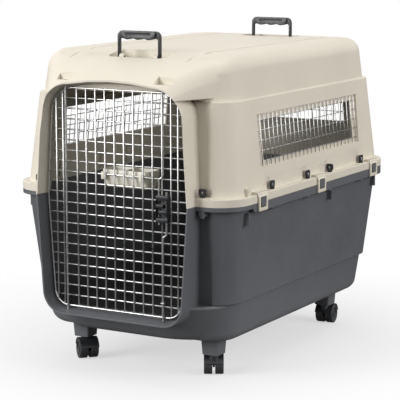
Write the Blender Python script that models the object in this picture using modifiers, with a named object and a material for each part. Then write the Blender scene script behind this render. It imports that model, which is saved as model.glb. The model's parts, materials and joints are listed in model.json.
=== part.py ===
"""Large pet travel crate: moulded base tub and roof, welded wire door and windows, on four casters.

Metres, +Z up, floor at z = 0. The front, with the door, faces -Y and +X is to the right of the door.
Sizes are half-widths (x), half-depths (y) and heights (z) about the middle of the moulded body.
"""
import math

import bmesh
import bpy
from mathutils import Matrix, Vector

# Body, seen in plan
FLANGE_X = 0.315
FLANGE_Y = 0.446
FLANGE_RADIUS = 0.080
OVERHANG = 0.012
WALL_RADIUS = 0.075
WALL = 0.004
CLEAR = 0.0003
ARC = 4
TRIM = 0.006

# Heights
FLOOR_Z = 0.100
STEP_Z = 0.195
CHIN_Z = 0.197
SPLIT_Z = 0.439
LEDGE_Z = 0.680
ROOF_Z = 0.784
BASE_SKIRT = 0.021
FRONT_SKIRT = 0.010
ROOF_SKIRT = 0.0192
PLATE = 0.004

# Base tub
BASE_DRAFT = 0.095
LOW_DRAFT = 0.117
STEP_IN = 0.007
BOTTOM_ROUND = 0.025
SKIRT_SHORT_Y = -0.350

# Roof shell
ROOF_DRAFT = 0.0925
LEDGE_IN = 0.004
CROWN_DRAFT = 0.100
CROWN_RADIUS = 0.090
ROOF_ROUND = 0.038
RECESS_IN = 0.010
RECESS_FLAT = 0.226
RECESS_HALF = 0.250

# Door opening, seen from the front, and its collar
COLLAR_FRONT = 0.033
DOOR_HALF = 0.2095
DOOR_TAPER = 0.068
DOOR_TOP = 0.711
DOOR_BOTTOM = 0.153
DOOR_TOP_RADIUS = 0.078
DOOR_BOTTOM_RADIUS = 0.052
TUNNEL_DEPTH = 0.035
TUNNEL_IN = 0.007
LIP = 0.004
LIP_HALF = 0.120
LIP_RISE = 0.009
ARCH = 0.010

# Front of the roof: where its top starts to fall, how it falls, and where the hood over the door ends
FALL_Y = -0.300
FALL_SLOPE = 0.110
FALL_CURVE = 1.5
HOOD_END_Y = -0.355
HOOD_END_HALF = 0.2575
HOOD_END_ROUND = 0.042
HOOD_FOOT_Z = 0.682

# Door grille
DOOR_INSET = 0.014
DOOR_TOP_INSET = 0.011
DOOR_WIRE = 0.004
DOOR_PITCH_Z = 0.0254
DOOR_PITCH_X = 0.02642
DOOR_COLUMNS = 10
DOOR_COLUMN_SHIFT = 0.0081
OUTER_COLUMNS = (0.1513, 0.1702)
DOOR_GAP = 0.0006
ROD = 0.005
HINGE_X = -0.1395
LATCH_X = 0.132
ROD_HOLE = 0.0066

# Latch
CASE_X = (0.1155, 0.1509)
CASE_Z = (0.396, 0.461)
CASE_DEPTH = 0.0097
CASE_WALL = 0.002
UPPER_ROD_X = 0.1215
LOWER_ROD_X = 0.142
LATCH_TRAVEL = 0.010
TIP_GAP = 0.0006
TAB = 0.008
TAB_APART = 0.006
SPRING_WIRE = 0.0008
SPRING_RADIUS = 0.0033
SPRING_TURNS = 4

# Windows, in the plane of their wall: half-width and half-height of opening and recess
WINDOW_Z = 0.578
SIDE_OPENING = (0.251, 0.0492)
SIDE_RECESS = (0.279, 0.0630)
REAR_WINDOW_Z = 0.588
REAR_OPENING = (0.187, 0.0382)
REAR_RECESS = (0.204, 0.0510)
WINDOW_WIRE = 0.0024
WINDOW_PITCH_X = 0.022
WINDOW_PITCH_Z = 0.0245

# Handles and their pockets
HANDLE_Y = 0.343
HANDLE_HALF = 0.0599
HANDLE_TOP_Z = 0.8328
HANDLE_PIVOT_Z = 0.770
HANDLE_CORNER = 0.014
LEG = (0.006, 0.009)
GRIP = (0.021, 0.017)
GRIP_HALF = 0.046
FINGER_PITCH = 0.030
FINGER_DEPTH = 0.003
HANDLE_PIN = 0.006
POCKET_HALF = 0.080
POCKET_Z = 0.762
POCKET_OUT = 0.022
POCKET_IN = 0.045
BOSS_WIDTH = 0.012
BOSS_RADIUS = 0.008

# Roof grooves
GROOVE_X = 0.163
GROOVE_Y = (-0.369, 0.341)
GROOVE_WIDTH = 0.007
GROOVE_DEPTH = 0.003
WEDGE = (0.028, 0.060, 0.005)

# Bolts and wing nuts
BOLT_Y = (-0.2433, -0.0528, 0.0742, 0.2647)
BOLT_X = 0.230
BOLT_IN = 0.006
BOLT = 0.006
BOLT_HEAD = (0.010, 0.004)
BOLT_HOLE = 0.0076
BOLT_BLOCK = (0.016, 0.0225)
PAD = (0.050, 0.0025)
NUT_POCKET = 0.0135
NUT_HEIGHT = 0.0205
NUT_WING = (0.020, 0.0046)
NUT_HUB = (0.0118, 0.009)

# Side clips
CLIP_Y = (-0.307, 0.010, 0.327)
CLIP_AXIS_IN = 0.002
CLIP_AXIS_Z = 0.4585
CLIP_BLOCK_Z = 0.4645
CLIP_BARREL = 0.008
CLIP_GROOVE = 0.0088
CLIP_HALF = 0.022
CLIP_DROP = 0.0395
CLIP_THICK = 0.0045
CLIP_WINDOW = (0.014, 0.006, 0.031)
NUB = (0.012, 0.0290, 0.008, 0.006)

# Fins under the base flange, and a peg on each side of the roof flange: x, y and half-width
FIN_Y = (-0.363, 0.084, 0.352)
FIN_THICK = 0.005
FIN_DROP = 0.032
PEG = (0.3025, -0.358, 0.006)
PEG_RISE = 0.018

# Feeding cup
CUP_X = (-0.047, 0.085)
CUP_Z = (0.466, 0.509)
CUP_DEPTH = 0.060
CUP_WALL = 0.002
CUP_TAPER = 0.005
HOOK_X = (-0.0385, 0.0672)
HOOK_WIDTH = 0.008
HOOK_WALL = 0.0026
HOOK_DROP = 0.014

# Casters
CASTER_X = 0.187
CASTER_Y = 0.310
BOSS_HALF = 0.0215
BOSS_FOOT_Z = 0.055
BOSS_WALL = 0.003
STEM = 0.009
STEM_BORE = 0.0102
STEM_TUBE = 0.020
STEM_TOP_Z = 0.085
WHEEL_RADIUS = 0.025
WHEEL_FACETS = 14
WELL_FACETS = 20
WHEEL_WIDTH = 0.0206
WHEEL_GAP = 0.0006
WEB = 0.006
TRAIL = 0.016
AXLE = 0.007
AXLE_BORE = 0.0078
HOOD_GAP = 0.0005
HOOD_WALL = 0.0024
SWIVEL_RADIUS = 0.011

# The collar reaches further forward than the rear flange does, so the body sits behind the middle
BODY_Y = COLLAR_FRONT / 2
FRONT = -(FLANGE_Y + COLLAR_FRONT)
WALL_TOP_X = FLANGE_X - OVERHANG
WALL_TOP_Y = FLANGE_Y - OVERHANG
DOOR_SEAM = FRONT + TUNNEL_DEPTH - DOOR_GAP - DOOR_WIRE
DOOR_FACE = DOOR_SEAM - DOOR_WIRE - CLEAR
ROD_Y = DOOR_FACE - CLEAR - ROD / 2
ROOF_BOTTOM_Z = SPLIT_Z + CLEAR
ROOF_FLANGE_Z = ROOF_BOTTOM_Z + ROOF_SKIRT
# The flats of a faceted wheel stand on the floor, and its corners clear the flats of its well
TREAD_CORNER = WHEEL_RADIUS / math.cos(math.pi / WHEEL_FACETS)
WELL_CORNER = (TREAD_CORNER + HOOD_GAP) / math.cos(math.pi / WELL_FACETS)


def material(name, color, roughness, metallic=0.0):
    made = bpy.data.materials.new(name)
    made.use_nodes = True
    shader = made.node_tree.nodes["Principled BSDF"]
    shader.inputs["Base Color"].default_value = (*color, 1.0)
    shader.inputs["Roughness"].default_value = roughness
    shader.inputs["Metallic"].default_value = metallic
    made.diffuse_color = (*color, 1.0)
    return made


def add_box(bm, low, high):
    middle = [(a + b) / 2 for a, b in zip(low, high)]
    size = [b - a for a, b in zip(low, high)]
    place = Matrix.Translation(middle) @ Matrix.Diagonal((*size, 1.0))
    bmesh.ops.create_cube(bm, size=1.0, matrix=place)


def add_rod(bm, start, end, radius, sides=12, turn=0.0):
    """Add a cylinder from one point to another."""
    start = Vector(start)
    end = Vector(end)
    line = end - start
    place = Matrix.Translation((start + end) / 2) @ line.to_track_quat("Z", "Y").to_matrix().to_4x4()
    place = place @ Matrix.Rotation(turn, 4, "Z")
    bmesh.ops.create_cone(bm, cap_ends=True, segments=sides, radius1=radius, radius2=radius,
                          depth=line.length, matrix=place)


def add_loft(bm, rings):
    """Join rings of as many points each with quads, and cap the first and the last."""
    rows = [[bm.verts.new(point) for point in ring] for ring in rings]
    count = len(rows[0])
    for low, high in zip(rows, rows[1:]):
        for i in range(count):
            j = (i + 1) % count
            bm.faces.new((low[i], low[j], high[j], high[i]))
    bm.faces.new(list(reversed(rows[0])))
    bm.faces.new(rows[-1])


def add_prism(bm, outline, place, low, high):
    """Extrude a flat outline; place(u, v, w) gives the point at depth w."""
    add_loft(bm, [[place(u, v, w) for u, v in outline] for w in (low, high)])


def rounded_rectangle(half_x, half_y, radius, stations=(), arc=ARC):
    """Outline counter-clockwise from the front right corner, with extra points on both long sides."""
    points = []
    corners = ((1, -1, -90), (1, 1, 0), (-1, 1, 90), (-1, -1, 180))
    for sign_x, sign_y, first in corners:
        for i in range(arc + 1):
            angle = math.radians(first + 90 * i / arc)
            x = sign_x * (half_x - radius) + radius * math.cos(angle)
            y = sign_y * (half_y - radius) + radius * math.sin(angle)
            points.append((x, y))
        side = [max(y, radius - half_y + 0.002 * (k + 1)) for k, y in enumerate(stations)]
        if first == -90:
            points += [(half_x, y) for y in side]
        if first == 90:
            points += [(-half_x, y) for y in reversed(side)]
    return points


def rounded_polygon(corners, arc=ARC):
    """Outline through (x, z, radius) corners, each rounded by an arc that touches both sides."""
    points = []
    count = len(corners)
    for i, (x, z, radius) in enumerate(corners):
        corner = Vector((x, z))
        if radius <= 0:
            points.append((x, z))
            continue
        before = (Vector(corners[i - 1][:2]) - corner).normalized()
        after = (Vector(corners[(i + 1) % count][:2]) - corner).normalized()
        half = before.angle(after) / 2
        middle = corner + (before + after).normalized() * (radius / math.sin(half))
        start = corner + before * (radius / math.tan(half)) - middle
        end = corner + after * (radius / math.tan(half)) - middle
        sweep = start.angle_signed(end)
        first = math.atan2(start.y, start.x)
        for k in range(arc + 1):
            angle = first - sweep * k / arc
            points.append((middle.x + radius * math.cos(angle), middle.y + radius * math.sin(angle)))
    return points


def level(outline, z):
    return [(x, y, z) for x, y in outline]


def finish_mesh(bm, name):
    bmesh.ops.remove_doubles(bm, verts=bm.verts, dist=1e-6)
    bmesh.ops.recalc_face_normals(bm, faces=bm.faces)
    mesh = bpy.data.meshes.new(name)
    bm.to_mesh(mesh)
    bm.free()
    return mesh


class Crate:
    """Holds the collections, the datum at the middle of the body and the materials."""

    def __init__(self):
        self.parts = bpy.data.collections.new("pet_travel_crate")
        self.cutters = bpy.data.collections.new("cutters")
        for group in (self.parts, self.cutters):
            bpy.context.scene.collection.children.link(group)
        self.datum = bpy.data.objects.new("body_middle", None)
        self.datum.location = (0.0, BODY_Y, 0.0)
        self.parts.objects.link(self.datum)
        self.beige = material("beige_plastic", (0.70, 0.66, 0.57), 0.55)
        self.grey = material("grey_plastic", (0.105, 0.108, 0.115), 0.50)
        self.black = material("black_plastic", (0.022, 0.023, 0.026), 0.45)
        self.cream = material("cream_plastic", (0.78, 0.74, 0.62), 0.45)
        self.zinc = material("zinc_wire", (0.62, 0.62, 0.61), 0.30, 1.0)
        self.steel = material("steel", (0.50, 0.50, 0.50), 0.35, 1.0)

    def solid(self, name, bm, finish, pivot=(0.0, 0.0, 0.0), turn=(0.0, 0.0, 0.0), smooth=True):
        """Make a part whose mesh is given about its pivot, its own origin."""
        mesh = bm if isinstance(bm, bpy.types.Mesh) else finish_mesh(bm, name)
        if not mesh.materials:
            mesh.materials.append(finish)
        if smooth:
            mesh.shade_smooth()
            mesh.set_sharp_from_angle(angle=math.radians(35))
        made = bpy.data.objects.new(name, mesh)
        made.parent = self.datum
        made.location = pivot
        made.rotation_euler = turn
        self.parts.objects.link(made)
        return made

    def cutter(self, name, bm):
        made = bpy.data.objects.new(name, finish_mesh(bm, name))
        made.parent = self.datum
        made.hide_render = True
        made.display_type = "WIRE"
        self.cutters.objects.link(made)
        return made

    def combine(self, target, bm_or_object, operation, label):
        """Add an exact Boolean between a part and a new cutter."""
        tool = bm_or_object
        if isinstance(tool, bmesh.types.BMesh):
            tool = self.cutter(target.name + "_" + label, tool)
        step = target.modifiers.new(label, "BOOLEAN")
        step.operation = operation
        step.solver = "EXACT"
        step.object = tool
        return tool


def low_half(z):
    """Half-width and half-depth of the outer wall below the step."""
    x = WALL_TOP_X - BASE_DRAFT * (SPLIT_Z - STEP_Z) - STEP_IN
    y = WALL_TOP_Y - BASE_DRAFT * (SPLIT_Z - STEP_Z) - STEP_IN
    return x - LOW_DRAFT * (STEP_Z - z), y - LOW_DRAFT * (STEP_Z - z)


def base_half(z):
    """Half-width and half-depth of the outer wall between the step and the flange."""
    return WALL_TOP_X - BASE_DRAFT * (SPLIT_Z - z), WALL_TOP_Y - BASE_DRAFT * (SPLIT_Z - z)


def roof_half(z):
    """Half-width and half-depth of the roof's outer wall, below and above its ledge."""
    x = WALL_TOP_X - ROOF_DRAFT * (z - SPLIT_Z)
    y = WALL_TOP_Y - ROOF_DRAFT * (z - SPLIT_Z)
    return x, y


def crown_half(z):
    x, y = roof_half(LEDGE_Z)
    drop = LEDGE_IN + CROWN_DRAFT * (z - LEDGE_Z)
    return x - drop, y - drop


def bottom_round(half, radius, floor, inset, wall_radius=WALL_RADIUS, arc=2):
    """Rings of the rounded bottom edge, from the floor to where the wall starts."""
    rings = []
    for i in range(arc + 1):
        angle = math.pi / 2 * i / arc
        z = floor + radius * (1 - math.cos(angle))
        draw = radius * (1 - math.sin(angle)) + inset
        x, y = half(z)
        rings.append((x - draw, y - draw, max(wall_radius - draw, 0.02), z))
    return rings


def body_rings(table, stations, lift=None):
    rings = []
    for x, y, radius, z in table:
        ring = level(rounded_rectangle(x, y, radius, stations), z)
        if lift and z < lift[1]:
            ring = [(px, py, lift[1] if py < lift[0] else pz) for px, py, pz in ring]
        rings.append(ring)
    return rings


def base_outer(bm):
    stations = (SKIRT_SHORT_Y - 0.001, SKIRT_SHORT_Y + 0.009)
    table = bottom_round(low_half, BOTTOM_ROUND, FLOOR_Z, 0.0)
    table.append((*low_half(STEP_Z), WALL_RADIUS, STEP_Z))
    table.append((*base_half(STEP_Z + PLATE), WALL_RADIUS, STEP_Z + PLATE))
    plate_z = SPLIT_Z - PLATE
    table.append((*base_half(plate_z), WALL_RADIUS, plate_z))
    rings = body_rings(table, stations)
    inner = (FLANGE_X - WALL, FLANGE_Y - WALL, FLANGE_RADIUS - WALL)
    outer = (FLANGE_X, FLANGE_Y, FLANGE_RADIUS)
    rings.append(level(rounded_rectangle(*inner, stations), plate_z))
    skirt = [(*inner, SPLIT_Z - BASE_SKIRT), (*outer, SPLIT_Z - BASE_SKIRT)]
    rings += body_rings(skirt, stations, lift=(SKIRT_SHORT_Y, SPLIT_Z - FRONT_SKIRT))
    rings.append(level(rounded_rectangle(*outer, stations), SPLIT_Z + TRIM))
    add_loft(bm, rings)


def base_cavity(bm):
    radius = WALL_RADIUS - WALL
    table = bottom_round(low_half, BOTTOM_ROUND - WALL, FLOOR_Z + WALL, WALL, radius)
    x, y = low_half(STEP_Z)
    table.append((x - WALL, y - WALL, radius, STEP_Z))
    x, y = base_half(STEP_Z + PLATE)
    table.append((x - WALL, y - WALL, radius, STEP_Z + PLATE))
    top = SPLIT_Z + 0.01
    x, y = base_half(top)
    table.append((x - WALL, y - WALL, radius, top))
    add_loft(bm, body_rings(table, ()))


def chin_half(z, floor):
    """Front face and half-width of the bulge under the door at a height."""
    x = low_half(z)[0] - 0.003
    front = FRONT + 0.011 + (CHIN_Z - z) * 0.526
    return x, front


def chin(bm, inset, top):
    """Bulge under the door, hollow inside; its rear stays within the tub."""
    rear = -0.100
    floor = FLOOR_Z + 0.0005 + inset
    corner = 0.150
    edge = 0.006
    rings = []
    bottom = BOTTOM_ROUND - inset
    for i in range(4):
        angle = math.pi / 2 * i / 3
        rings.append((floor + bottom * (1 - math.cos(angle)), bottom * (1 - math.sin(angle))))
    rings.append((top - edge, 0.0))
    rings.append((top, edge * 0.6))
    loft = []
    for z, draw in rings:
        x, front = chin_half(z, floor)
        x -= inset + draw
        front += inset + draw
        middle = (front + rear) / 2
        half = (rear - front) / 2
        outline = rounded_rectangle(x, half, corner - inset)
        loft.append([(px, py + middle, z) for px, py in outline])
    add_loft(bm, loft)


def recess(bm, half, low, high, inset):
    """Front wall set back between the corner pillars, following the draft of the wall."""
    rings = []
    for z in (low, high):
        wall = -half(z)[1]
        back = wall + RECESS_IN + inset
        shoulder = wall + 0.002 + inset
        flat = RECESS_FLAT + inset * 0.5
        side = RECESS_HALF + inset
        rings.append([(side, FRONT - 0.05, z), (side, shoulder, z), (flat, back, z), (-flat, back, z),
                      (-side, shoulder, z), (-side, FRONT - 0.05, z)])
    add_loft(bm, rings)


def door_corners(off):
    """Sharp corners of the door opening; off is outward."""
    top_z = DOOR_TOP + off
    bottom_z = DOOR_BOTTOM - off
    wide = DOOR_HALF + off
    top_x = wide - DOOR_TAPER * (top_z - SPLIT_Z)
    bottom_x = wide - DOOR_TAPER * (SPLIT_Z - bottom_z)
    return top_x, top_z, bottom_x, bottom_z, wide


def lower_outline(off, top):
    """Lower part of the door outline, up to a level top."""
    _, _, bottom_x, bottom_z, wide = door_corners(off)
    radius = DOOR_BOTTOM_RADIUS + off
    return rounded_polygon([(bottom_x, bottom_z, radius), (wide, SPLIT_Z, 0), (wide, top, 0),
                            (-wide, top, 0), (-wide, SPLIT_Z, 0), (-bottom_x, bottom_z, radius)])


def upper_outline(off, bottom):
    """Upper part of the door outline, with its arched top, down to a level bottom."""
    top_x, top_z, _, _, wide = door_corners(off)
    radius = DOOR_TOP_RADIUS + off
    points = rounded_polygon([(wide, bottom, 0), (wide, SPLIT_Z, 0), (top_x, top_z, radius),
                              (-top_x, top_z, radius), (-wide, SPLIT_Z, 0), (-wide, bottom, 0)])
    half = len(points) // 2
    last_x = points[half - 1][0]
    arch = [(last_x * share, top_z + ARCH * (1 - share * share)) for share in (0.5, 0.0, -0.5)]
    return points[:half] + arch + points[half:]


def door_loft(bm, sections):
    """Loft flat outlines along y; each section is its y and its outline."""
    add_loft(bm, [[(x, y, z) for x, z in outline] for y, outline in sections])


def tunnel(bm, outline):
    """Space in front of and through the door opening, narrower at its back."""
    back = FRONT + TUNNEL_DEPTH
    door_loft(bm, [(FRONT - 0.02, outline(0.0)), (FRONT, outline(0.0)), (back, outline(-TUNNEL_IN)),
                   (back + 0.06, outline(-TUNNEL_IN))])


def bolt_places():
    """Name, x, y and direction of the flange's outer edge for every bolt."""
    x_side = FLANGE_X - BOLT_IN
    y_end = FLANGE_Y - BOLT_IN
    rows = []
    for i, y in enumerate(BOLT_Y):
        rows.append((f"right_{i + 1}", x_side, y, 0))
        rows.append((f"left_{i + 1}", -x_side, y, 180))
    for label, x in (("right", BOLT_X), ("left", -BOLT_X)):
        rows.append((f"front_{label}", x, -y_end, -90))
        rows.append((f"rear_{label}", x, y_end, 90))
    return rows


def add_flange_box(bm, x, y, facing, inward, outward, half, low, high):
    """Box on a flange at a bolt: inward and outward of it across the flange, half along it."""
    across = Vector((math.cos(math.radians(facing)), math.sin(math.radians(facing)), 0.0))
    along = Vector((-across.y, across.x, 0.0))
    here = Vector((x, y, 0.0))
    ends = [here - across * inward - along * half, here + across * outward + along * half]
    add_box(bm, (min(p.x for p in ends), min(p.y for p in ends), low),
            (max(p.x for p in ends), max(p.y for p in ends), high))


def fin(bm, sign, y):
    """Thin upright fin between the wall and the underside of the side flange."""
    top = SPLIT_Z - BASE_SKIRT + 0.002
    low = top - FIN_DROP
    root = base_half(low)[0] - WALL / 2
    face = FLANGE_X - 0.003
    outline = [(root, low), (face, low), (face, top), (root, top)]
    add_prism(bm, outline, lambda u, v, w: (sign * u, w, v), y - FIN_THICK / 2, y + FIN_THICK / 2)


def nub(bm, sign, y):
    """Hook of the base that stands up through a clip's window, in front of the roof's flange."""
    half, reach, rise, out = NUB
    back = FLANGE_X - 0.002
    low = CLIP_AXIS_Z - reach
    outline = [(back, low), (FLANGE_X + out, low), (FLANGE_X + out, CLIP_AXIS_Z - rise),
               (FLANGE_X + CLEAR, CLIP_AXIS_Z - rise), (FLANGE_X + CLEAR, SPLIT_Z - 0.002),
               (back, SPLIT_Z - 0.002)]
    add_prism(bm, outline, lambda u, v, w: (sign * u, w, v), y - half, y + half)


def base_tub(crate):
    bm = bmesh.new()
    base_outer(bm)
    tub = crate.solid("base_tub", bm, crate.grey)

    cut = bmesh.new()
    recess(cut, base_half, CHIN_Z + 0.0005, SPLIT_Z - FRONT_SKIRT, 0.0)
    crate.combine(tub, cut, "DIFFERENCE", "front_recess")

    add = bmesh.new()
    chin(add, 0.0, CHIN_Z)
    crate.combine(tub, add, "UNION", "chin")

    add = bmesh.new()
    top = SPLIT_Z + TRIM / 2
    door_loft(add, [(FRONT, lower_outline(LIP, top)),
                    (FRONT + 0.050, lower_outline(LIP + 0.0025, top)),
                    (FRONT + 0.090, lower_outline(LIP + 0.0025, top))])
    crate.combine(tub, add, "UNION", "collar")

    add = bmesh.new()
    for name, x, y, facing in bolt_places():
        add_flange_box(add, x, y, facing, 0.011, BOLT_IN - 0.001, BOLT_BLOCK[0] / 2,
                       SPLIT_Z - BOLT_BLOCK[1], SPLIT_Z - 0.002)
    for sign in (-1, 1):
        for y in CLIP_Y:
            nub(add, sign, y)
    for x in (-CASTER_X, CASTER_X):
        for y in (-CASTER_Y, CASTER_Y):
            slope = 0.003
            rings = []
            for z, half in ((BOSS_FOOT_Z, BOSS_HALF), (FLOOR_Z + 0.002, BOSS_HALF + slope)):
                outline = rounded_rectangle(half, half, 0.005, arc=1)
                rings.append([(px + x, py + y, z) for px, py in outline])
            add_loft(add, rings)
    crate.combine(tub, add, "UNION", "blocks")

    add = bmesh.new()
    for sign in (-1, 1):
        for y in FIN_Y:
            fin(add, sign, y)
    crate.combine(tub, add, "UNION", "fins")

    trim = bmesh.new()
    add_box(trim, (-FLANGE_X - CLEAR, FRONT - 0.01, SPLIT_Z), (FLANGE_X + CLEAR, FLANGE_Y + 0.01, SPLIT_Z + 0.05))
    crate.combine(tub, trim, "DIFFERENCE", "split_plane")

    cavity_bm = bmesh.new()
    base_cavity(cavity_bm)
    cavity = crate.cutter("base_tub_cavity", cavity_bm)
    keep = bmesh.new()
    recess(keep, base_half, CHIN_Z - 0.02, SPLIT_Z + 0.05, WALL)
    crate.combine(cavity, keep, "DIFFERENCE", "recess_wall")
    crate.combine(tub, cavity, "DIFFERENCE", "cavity")

    hollow_bm = bmesh.new()
    chin(hollow_bm, WALL, CHIN_Z - WALL)
    hollow = crate.cutter("base_tub_chin_hollow", hollow_bm)
    keep = bmesh.new()
    side = DOOR_HALF
    add_box(keep, (-side, FRONT, DOOR_BOTTOM - WALL), (side, FRONT + 0.052, CHIN_Z + 0.01))
    crate.combine(hollow, keep, "DIFFERENCE", "sill")
    crate.combine(tub, hollow, "DIFFERENCE", "chin_hollow")

    cut = bmesh.new()
    back = FRONT + TUNNEL_DEPTH + LIP
    door_loft(cut, [(back, lower_outline(0.0, SPLIT_Z + 0.02)),
                    (back + 0.045, lower_outline(0.0, SPLIT_Z + 0.02))])
    crate.combine(tub, cut, "DIFFERENCE", "collar_hollow")

    cut = bmesh.new()
    tunnel(cut, lambda off: lower_outline(off, SPLIT_Z + 0.02))
    crate.combine(tub, cut, "DIFFERENCE", "door_tunnel")

    add = bmesh.new()
    lip_y = FRONT + TUNNEL_DEPTH
    top = DOOR_BOTTOM + TUNNEL_IN + LIP_RISE
    add_box(add, (-LIP_HALF, lip_y, DOOR_BOTTOM - 0.002), (LIP_HALF, lip_y + LIP, top))
    crate.combine(tub, add, "UNION", "door_stop")

    cut = bmesh.new()
    for x in (HINGE_X, LATCH_X):
        add_rod(cut, (x, ROD_Y, DOOR_BOTTOM - 0.012), (x, ROD_Y, DOOR_BOTTOM + 0.02), ROD_HOLE / 2, 8)
    for name, x, y, facing in bolt_places():
        add_rod(cut, (x, y, SPLIT_Z - 0.03), (x, y, SPLIT_Z + 0.01), BOLT_HOLE / 2, 6)
    for x in (-CASTER_X, CASTER_X):
        for y in (-CASTER_Y, CASTER_Y):
            add_rod(cut, (x, y, BOSS_FOOT_Z - 0.01), (x, y, STEM_TOP_Z + 0.001), STEM_BORE / 2, 8)
    crate.combine(tub, cut, "DIFFERENCE", "holes")

    cut = bmesh.new()
    for x in (-CASTER_X, CASTER_X):
        for y in (-CASTER_Y, CASTER_Y):
            boss_hollow(cut, x, y)
    crate.combine(tub, cut, "DIFFERENCE", "boss_hollows")
    return tub


def boss_hollow(bm, x, y):
    """Ring-shaped hollow of a caster boss, round the tube that holds the stem, open below."""
    half = BOSS_HALF - BOSS_WALL
    low = BOSS_FOOT_Z - 0.01
    high = FLOOR_Z - WALL
    outer = rounded_rectangle(half, half, 0.004, arc=1)
    count = len(outer)
    tube = STEM_TUBE / 2
    inner = [(tube * math.cos(math.atan2(py, px)), tube * math.sin(math.atan2(py, px))) for px, py in outer]
    rows = []
    for outline, z in ((outer, low), (outer, high), (inner, high), (inner, low)):
        rows.append([bm.verts.new((px + x, py + y, z)) for px, py in outline])
    for a, b in zip(rows, rows[1:] + rows[:1]):
        for i in range(count):
            j = (i + 1) % count
            bm.faces.new((a[i], a[j], b[j], b[i]))


def roof_outer(bm):
    wall_low = roof_half(ROOF_BOTTOM_Z)
    plate_z = ROOF_FLANGE_Z - PLATE
    inner = (FLANGE_X - WALL, FLANGE_Y - WALL, FLANGE_RADIUS - WALL)
    outer = (FLANGE_X, FLANGE_Y, FLANGE_RADIUS)
    edge = 0.0015
    foot = ROOF_BOTTOM_Z - TRIM
    table = [(*wall_low, WALL_RADIUS, foot), (*roof_half(plate_z), WALL_RADIUS, plate_z),
             (*inner, plate_z), (*inner, foot), (*outer, foot),
             (*outer, ROOF_FLANGE_Z - edge),
             (outer[0] - edge, outer[1] - edge, outer[2] - edge, ROOF_FLANGE_Z),
             (*roof_half(ROOF_FLANGE_Z), WALL_RADIUS, ROOF_FLANGE_Z),
             (*roof_half(LEDGE_Z - 0.002), WALL_RADIUS, LEDGE_Z - 0.002),
             (*crown_half(LEDGE_Z + 0.001), CROWN_RADIUS, LEDGE_Z + 0.001)]
    table += crown_rings(0.0)
    add_loft(bm, with_fall(body_rings(table, ())))


def fall(y):
    """How far the top of the roof has come down at a place in front."""
    ahead = max(FALL_Y - y, 0.0)
    return FALL_SLOPE * ahead + FALL_CURVE * ahead * ahead


def crown_rings(inset, arc=3):
    """Rings over the rounded top edge of the roof, and one where its top is flat."""
    start = ROOF_Z - ROOF_ROUND
    radius = ROOF_ROUND - inset
    x, y = crown_half(start)
    rings = []
    for i in range(arc + 1):
        angle = math.pi / 2 * i / arc
        draw = inset + radius * (1 - math.cos(angle))
        rings.append((x - draw, y - draw, CROWN_RADIUS - draw, start + radius * math.sin(angle)))
    draw = y + FALL_Y
    rings.append((x - draw, y - draw, 0.040, start + radius))
    return rings


def with_fall(rings):
    """Bring the points above the ledge down towards the front."""
    return [[(x, y, z - fall(y) * max(z - LEDGE_Z, 0.0) / (ROOF_Z - LEDGE_Z)) for x, y, z in ring] for ring in rings]


def roof_cavity(bm):
    low = ROOF_BOTTOM_Z - 0.01
    table = []
    for half, z, radius in ((roof_half, low, WALL_RADIUS), (roof_half, LEDGE_Z - 0.002, WALL_RADIUS),
                            (crown_half, LEDGE_Z + 0.001, CROWN_RADIUS)):
        x, y = half(z)
        table.append((x - WALL, y - WALL, radius - WALL, z))
    table += crown_rings(WALL)
    add_loft(bm, with_fall(body_rings(table, ())))


def brow_outline(inset, y, arc=3):
    """Section of the hood over the door: the collar at its foot, flaring above the ledge to the roof's width."""
    back = min(max((y - FRONT) / (HOOD_END_Y - FRONT), 0.0), 1.0)
    front_top = DOOR_TOP + LIP
    end_top = ROOF_Z - fall(HOOD_END_Y)
    top = max(ROOF_Z - fall(min(y, HOOD_END_Y)), front_top)
    risen = (top - front_top) / (end_top - front_top)
    flank = 0.0025 * min((y - FRONT) / 0.05, 1.0)
    wide = DOOR_HALF + LIP + flank - inset
    radius = DOOR_TOP_RADIUS + LIP - inset
    middle_z = DOOR_TOP - DOOR_TOP_RADIUS
    middle_x = wide - DOOR_TAPER * (front_top - SPLIT_Z) - radius
    foot = math.asin((HOOD_FOOT_Z - middle_z) / radius)
    side = [(wide, ROOF_BOTTOM_Z - TRIM / 2), (wide, SPLIT_Z)]
    first = math.atan(DOOR_TAPER)
    for i in range(arc + 1):
        angle = first + (foot - first) * i / arc
        side.append((middle_x + radius * math.cos(angle), middle_z + radius * math.sin(angle)))
    step = math.radians(3)
    end_x = HOOD_END_HALF - inset - HOOD_END_ROUND
    end_z = end_top - HOOD_END_ROUND
    for i in range(arc + 2):
        angle = foot + step + (math.pi / 2 - foot - step) * i / (arc + 1)
        x = middle_x + radius * math.cos(angle)
        z = middle_z + radius * math.sin(angle)
        if i == 0:
            far = (HOOD_END_HALF - inset, HOOD_FOOT_Z + 0.006 + inset)
        else:
            angle = math.pi / 2 * (i - 1) / arc
            far = (end_x + HOOD_END_ROUND * math.cos(angle), end_z - inset + HOOD_END_ROUND * math.sin(angle))
        side.append((x + (far[0] - x) * back, z + (far[1] - z) * risen))
    last_x, last_z = side[-1]
    arch = []
    for share in (0.5, 0.0, -0.5):
        arch.append((last_x * share, last_z + ARCH * (1 - share * share) * (1 - risen)))
    return side + arch + [(-x, z) for x, z in reversed(side)]


BROW_STEPS = (0.0, 0.034, 0.064, 0.094, 0.124)


def wall_matrix(half, z, facing):
    """Frame in the outer face of a drafted wall: x along it, y up it, z out of it."""
    tilt = math.atan(ROOF_DRAFT)
    across = half(z)[0] if facing in (0, 180) else half(z)[1]
    return (Matrix.Rotation(math.radians(facing), 4, "Z") @ Matrix.Translation((across, 0.0, z))
            @ Matrix.Rotation(-tilt, 4, "Y") @ Matrix(((0, 0, 1, 0), (1, 0, 0, 0), (0, 1, 0, 0), (0, 0, 0, 1))))


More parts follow.
